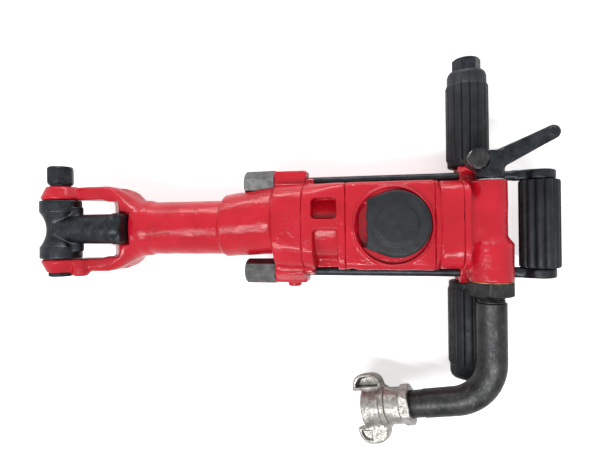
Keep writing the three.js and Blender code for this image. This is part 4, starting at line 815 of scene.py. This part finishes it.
def claw_coupling(x, y, z):
    """A quick coupling half in the outlet's frame, whose face looks along -X."""
    u = -x
    reach = np.hypot(y, z)
    radius = np.interp(u, (82.6, 100.2, 100.9, 105.3, 106.4, 119.4, 121.9, 124.4),
                       (17.6, 17.6, 19.6, 19.6, 18.2, 18.2, 19.4, 19.4))
    body = smooth_max(reach - radius, slab(u, 82.6, 124.4), 0.8)
    v = y * math.cos(COUPLING_ROLL) + z * math.sin(COUPLING_ROLL)
    w = z * math.cos(COUPLING_ROLL) - y * math.sin(COUPLING_ROLL)
    flats = [np.abs(v * math.cos(t) + w * math.sin(t)) for t in np.radians((30, 90, 150))]
    nut = smooth_max(np.max(flats, axis=0) - 17.7, slab(u, 76, 85.6), 0.5)
    nut = smooth_max(nut, reach - 19.9 + 0.5 * np.maximum(np.abs(u - 80.8) - 3, 0), 0.5)
    body = join(0.8, body, nut)
    heel, toe = (115.6, 21), (121.4, 21)
    rise, fall = np.radians(np.linspace(180, 90, 9)), np.radians(np.linspace(90, 0, 9))
    outline = [(95.4, 0), (95.4, 15), *arc(heel, 13, rise), *arc(toe, 13, fall),
               (134.4, 17.5), (124.4, 17.5), (121.4, 0)]
    inner = arc(heel, 9, rise) + arc(toe, 9, fall)
    throat = [(120.4, 21), (120.4, 30), *arc(toe, 9, fall)]
    for side in (1, -1):
        hook = smooth_max(polygon(u, side * v, outline), np.abs(w) - 8.5, 3.2)
        hollow = smooth_max(polygon(u, side * v, inner), -2.5 - side * w, 2)
        back = smooth_max(polygon(u, side * v, throat), 5 + side * w, 1.2)
        body = join(2.6, body, carve(1.4, hook, hollow, back))
    body = body + lumps(x, y, z, 0.14)
    return carve(0.5, body, bar(y, z, u, 14.6, 118.4, 150), reach - 9.5, bar(y, z, u, 13.15, 60, 94.3))


# Name, node, field, the box to sample it in, and the grid's pitch
CASTINGS = [
    ("front_head_casting", "front_head", front_head, (-376, -64, -47), (-88, 60, 47), 1.2),
    ("guide_housing_casting", "guide_housing", guide_housing, (-90, -51, -47), (-43, 51, 45), 1.2),
    ("cylinder_casting", "cylinder", cylinder, (-46, -43, -47), (39, 43, 49), 1.2),
    ("rear_housing_casting", "rear_housing", rear_housing, (37, -42, -46), (64, 42, 42), 1.0),
    ("backhead_casting", "backhead", backhead, (62, -59, -43), (110, 59, 44), 1.0),
    ("lube_plug_head", "lube_plug", lube_plug, (-110, -63, -8), (-94, -52, 8), 0.6),
]
for name, node, shape, low, high, pitch in CASTINGS:
    piece(name, solid(shape, low, high, pitch), "casing", node, "red_paint")
piece("exhaust_cap_rubber", solid(exhaust_cap, (-26, -31, 43), (35, 34, 52), 0.8),
      "casing", "exhaust_deflector", "black_rubber")
piece("steel_retainer_forging", solid(steel_retainer, (-22, -32, -22), (79, 32, 22), 0.9),
      "retainer", "steel_retainer", "black_oxide", LATCH_LINE)
piece("throttle_lever_forging", solid(throttle_lever, (-22, 42, -14), (60, 90, 14), 0.7),
      "throttle", "throttle_lever", "black_lever", THROTTLE_LINE)
piece("claw_coupling_casting", solid(claw_coupling, (-135, -36, -22), (-75, 36, 22), 0.7),
      "inlet_swivel", "claw_coupling", "zinc_plate", OUTLET_LINE)


# Bolts and nuts


def bolt_and_nut_pieces():
    bolt = [(-51.1, 7.0), (-50.6, 7.5), (46.75, 7.5), (46.75, 10.4), (47.1, 10.7), (48.75, 10.7),
            *hex_profile(24.4, 48.75, 68.65, cone_low=True, cone=48)]
    piece("retainer_bolt_forged", turned("y", bolt), "retainer", "retainer_bolt", "black_oxide",
          LATCH_LINE, 30)
    piece("retainer_nut_forged", hex_nut("y", 24, 7.65, -51.15, -46.75), "retainer",
          "retainer_bolt_nut", "black_oxide", LATCH_LINE, 30)
    for name, side in SIDES:
        first = math.radians(30 - 22.3 * side)
        nut = hex_nut("x", 22.6, 4.85, ROD_FRONT, FLANGE_FRONT, (side * ROD_OFFSET, 0), first)
        piece(f"rod_nut_{name}_forged", nut, "casing", f"rod_nut_{name}", "grey_nut", sharp=30)
    socket = hexagon(7.4)
    bolt = [(-51.0, 5.4), (-50.5, 6), (48.7, 6), (51.1, 8.4), (51.1, socket), (48.4, socket), (48.4, 1)]
    piece("d_handle_bolt_forged", turned("y", bolt), "casing", "d_handle_bolt", "black_oxide",
          D_HANDLE_LINE, 30)
    bolt = [(-154.3, 7.2), (-153.5, 8), (157.35, 8), *hex_profile(24.4, 157.35, 170.2)]
    piece("t_handle_bolt_forged", turned("y", bolt), "casing", "t_handle_bolt", "black_oxide",
          T_HANDLE_LINE, 30)
    piece("t_handle_nut_forged", hex_nut("y", 24.4, 8.15, -154.2, -141.35), "casing", "t_handle_nut",
          "black_oxide", T_HANDLE_LINE, 30)
    bolt = [(-9, 3.6), (-8.6, 4), (10.8, 4), *hex_profile(16.4, 10.8, 17.6, edge=0.8, cone=24)]
    piece("pinch_bolt_forged", turned("z", bolt, PINCH), "throttle", "pinch_bolt", "black_oxide",
          THROTTLE_LINE, 30, "pipe_steel")
    piece("pinch_washer_plain", tube("z", 9.0, 4.15, 8.85, 10.65, PINCH), "throttle", "pinch_washer",
          "hard_steel", THROTTLE_LINE, 30)
    piece("lever_washer_plain", tube("y", 12.6, 7.3, 39.95, 41.95), "throttle", "lever_washer",
          "hard_steel", THROTTLE_LINE, 30)


def rod_pieces():
    for name, side in SIDES:
        def rod(x, y, z, side=side):
            w = y - side * ROD_OFFSET
            ex = x - D_LINE_X
            shaft = round_rod(w, z, x, ROD_RADIUS, ROD_FRONT, 130, 1.0)
            shoulder = round_rod(w, z, x, 6.4, ROD_LUG_REAR, 82, 0.8)
            eye = smooth_max(np.hypot(ex, z) - 14.4, np.abs(w) - 4.5, 2.2)
            neck = smooth_max(taper(x, z, (118, 0), 4.5, (D_LINE_X, 0), 11), np.abs(w) - 4.4, 2)
            body = join(1.0, join(2.5, shaft, neck, eye), shoulder)
            sink = np.maximum(side * w - 2.0, 0) * (side > 0)
            return carve(0.4, body, np.hypot(ex, z) - 6.15 - sink)

        low, high = (-155, side * ROD_OFFSET - 7, -15), (152.5, side * ROD_OFFSET + 7, 15)
        piece(f"side_rod_{name}_forged", solid(rod, low, high, 0.8), "casing", f"side_rod_{name}",
              "black_oxide")


def ribbed(radius, depth, count, sharpness):
    """Reach of a ribbed section. A low sharpness gives round ribs, a high one thin grooves."""
    return lambda t: radius - depth * np.abs(2 * ((t * count / (2 * math.pi)) % 1.0) - 1) ** sharpness


def grip_pieces():
    half = 41.6
    full, nearly = ribbed(18.2, 2.6, 12, 2.2), ribbed(17.8, 2.4, 12, 2.2)
    low = ribbed(16.9, 1.6, 12, 2.2)
    profile = [(-half, 8.3), (-half, low), (0.6 - half, nearly), (2 - half, full), (half - 2, full),
               (half - 0.6, nearly), (half, low), (half, 8.3)]
    piece("d_grip_rubber", turned("y", profile, sides=288, closed=True), "casing", "d_handle_grip",
          "black_rubber", D_HANDLE_LINE, 50)
    ribs, rib_ends = ribbed(21, 1.5, 16, 7), ribbed(20.4, 0.9, 16, 7)
    for name, side in SIDES:
        outer = [(58, 11.7), (58, 18.6), (58.8, 19.6), (60, 19.8), (64.2, 19.8), (65.4, rib_ends),
                 (66.8, ribs), (140.9, ribs), (142.3, rib_ends), (143.4, 19.4), (152, 19.3),
                 (155, 18.2), (156.6, 16.8), (157.2, 15.2)]
        mouth = [(157.2, 11.7)] if side > 0 else [(157.2, 14.4), (141.2, 14.4), (141.2, 11.7)]
        profile = [(side * along, radius) for along, radius in outer + mouth]
        piece(f"t_grip_{name}_rubber", turned("y", profile, sides=256, closed=True), "casing",
              f"t_grip_{name}", "black_rubber", T_HANDLE_LINE, 50)


# The inlet


def bend_route(along):
    """A point and a direction of the gooseneck's middle line, from a reach below the throttle's axis."""
    drop = OUTLET_CORNER - BEND_SETBACK
    if along <= drop:
        return np.array([0.0, -along, 0.0]), np.array([0.0, -1.0, 0.0])
    turn = min((along - drop) / BEND_RADIUS, BEND_ANGLE)
    beyond = max(along - drop - BEND_RADIUS * BEND_ANGLE, 0)
    forward = np.array([-math.sin(turn), -math.cos(turn), 0.0])
    bend = np.array([BEND_RADIUS * (math.cos(turn) - 1), -drop - BEND_RADIUS * math.sin(turn), 0.0])
    return bend + beyond * forward, forward


def inlet_pieces():
    piece("inlet_gasket_brass", tube("y", 19.4, 14.15, GASKET_FACE, INLET_FACE, edge=0.15),
          "casing", "inlet_gasket", "brass", THROTTLE_LINE, 30)
    outer = hex_profile(39.6, -65.8, GASKET_FACE, math.pi / 2 + INLET_TILT, True, False)
    profile = [(-65.8, 12.5), *outer, (GASKET_FACE, 14), (-41.6, 14), (-41.4, 13.6), (-41.4, 9),
               (-56.8, 9), (-56.8, 12.5)]
    piece("inlet_bushing_forged", turned("y", profile, sides=144, closed=True), "casing",
          "inlet_bushing", "grey_nut", THROTTLE_LINE, 30, "pipe_steel")
    end = OUTLET_CORNER - BEND_SETBACK + BEND_RADIUS * BEND_ANGLE + (OUTLET_REACH - BEND_SETBACK)
    along = np.linspace(73.5, end - 31, 64)
    outer = [*thread(12.2, 0.8, 1.8, 57.1, 72.1), (72.4, 13.1), (72.9, 13.6), *((s, 13.6) for s in along),
             (end - 30.4, 13.6), (end - 30, 13.0), (end - 0.5, 13.0), (end, 12.6)]
    inner = [(end, 9.6), *((s, 9.6) for s in along[::-3]), (57.1, 9.6)]
    piece("gooseneck_pipe", sweep(bend_route, outer + inner), "inlet_swivel", "gooseneck",
          "pipe_steel", SWIVEL_LINE, 40)
    lip = [(-118.4, 9.5), (-118.4, 14.4), (-125.0, 14.4), (-125.8, 13.4), (-125.9, 12.0),
           (-125.5, 10.2), (-124.6, 9.5)]
    piece("coupling_seal_rubber", turned("x", lip, closed=True), "inlet_swivel", "coupling_seal",
          "black_rubber", OUTLET_LINE, 40)


def chuck_piece():
    socket, bore = hexagon(23), 15.6
    front, rear = CHUCK_FRONT, CHUCK_FRONT + 127
    driver = rear - 26.15
    profile = [(front, lambda t: socket(t) + 0.8), (front, 19.4), (front + 0.6, 20), (front + 80.3, 20),
               (front + 80.3, 22.2), (rear - 0.4, 22.2), (rear, 21.8), (rear, 18.55), (driver, 18.55),
               (driver, bore), (front + 57, bore), (front + 57, socket), (front + 0.8, socket)]
    piece("chuck_machined", turned("x", profile, sides=144, closed=True), "chuck", "chuck",
          "hard_steel", sharp=30)


bolt_and_nut_pieces()
rod_pieces()
grip_pieces()
inlet_pieces()
chuck_piece()

# CAD solids that keep their shape get the finish of their slot
for part in frame["record"]["subparts"]:
    mesh = frame["nodes"][part["node"]].data
    mesh.materials.clear()
    mesh.materials.append(LOOKS[part["material_slot"]])


# Camera, lamps and floor


def camera():
    """The photograph's view: from above, leaning 11.2 degrees back along the drill."""
    lean, roll = math.radians(11.2), math.radians(0.73)
    right, up = Vector((math.cos(lean), 0, -math.sin(lean))), Vector((0, 1, 0))
    across = math.cos(roll) * right - math.sin(roll) * up
    upward = math.sin(roll) * right + math.cos(roll) * up
    back = Vector((math.sin(lean), 0, math.cos(lean)))
    turn = Matrix((across, upward, back)).transposed().to_4x4()
    data = bpy.data.cameras.new("camera")
    data.sensor_width = 36
    # The photograph's focal length, 451 of its pixels on a width of 600
    data.lens = 27.06
    data.clip_start, data.clip_end = 0.02, 20
    thing = bpy.data.objects.new("camera", data)
    thing.matrix_world = Matrix.Translation(Vector((-3.54, 1.58, 512.93)) * MM) @ turn
    bpy.context.scene.collection.objects.link(thing)
    bpy.context.scene.camera = thing


def lamp(name, place, target, size, power):
    data = bpy.data.lights.new(name, "AREA")
    data.shape = "RECTANGLE"
    data.size, data.size_y = size
    data.energy = power
    thing = bpy.data.objects.new(name, data)
    thing.location = place
    thing.rotation_mode = "QUATERNION"
    thing.rotation_quaternion = (Vector(target) - Vector(place)).to_track_quat("-Z", "Y")
    bpy.context.scene.collection.objects.link(thing)


def show_white(tree, shader_out, socket):
    """White for camera, glossy and transmission rays, and the given shader for the rest."""
    path = tree.nodes.new("ShaderNodeLightPath")
    total = path.outputs["Is Camera Ray"]
    for ray in ("Is Glossy Ray", "Is Transmission Ray"):
        add = tree.nodes.new("ShaderNodeMath")
        add.use_clamp = True
        tree.links.new(total, add.inputs[0])
        tree.links.new(path.outputs[ray], add.inputs[1])
        total = add.outputs[0]
    white = tree.nodes.new("ShaderNodeBackground")
    white.inputs["Color"].default_value = (1, 1, 1, 1)
    white.inputs["Strength"].default_value = 1
    choose = tree.nodes.new("ShaderNodeMixShader")
    tree.links.new(total, choose.inputs[0])
    tree.links.new(shader_out, choose.inputs[1])
    tree.links.new(white.outputs[0], choose.inputs[2])
    tree.links.new(choose.outputs[0], socket)


def make_world():
    world = bpy.data.worlds.new("studio")
    world.use_nodes = True
    bpy.context.scene.world = world
    tree = world.node_tree
    fill = tree.nodes["Background"]
    fill.inputs["Color"].default_value = (1, 1, 1, 1)
    fill.inputs["Strength"].default_value = 0.43
    show_white(tree, fill.outputs[0], tree.nodes["World Output"].inputs["Surface"])


def make_floor():
    """Pale paper that takes the object's shadow, a little brighter to the camera alone."""
    bpy.ops.mesh.primitive_plane_add(size=6)
    floor = bpy.context.object
    floor.name = "floor"
    material = bpy.data.materials.new("floor_paper")
    material.use_nodes = True
    tree = material.node_tree
    paper = tree.nodes["Principled BSDF"]
    paper.inputs["Base Color"].default_value = (0.92, 0.92, 0.92, 1)
    paper.inputs["Roughness"].default_value = 0.9
    paper.inputs["Emission Color"].default_value = (1, 1, 1, 1)
    path = tree.nodes.new("ShaderNodeLightPath")
    lift = tree.nodes.new("ShaderNodeMath")
    lift.operation = "MULTIPLY"
    tree.links.new(path.outputs["Is Camera Ray"], lift.inputs[0])
    lift.inputs[1].default_value = 0.5
    tree.links.new(lift.outputs[0], paper.inputs["Emission Strength"])
    floor.data.materials.append(material)


camera()
make_world()
lamp("overhead", (-0.1, -0.45, 1.0), (0, 0, 0), (1.3, 0.03), 11)
lamp("far_side", (-0.1, 1.1, 0.3), (0, 0, 0.03), (1.4, 0.035), 10)
make_floor()
bpy.context.scene.view_settings.view_transform = "Standard"
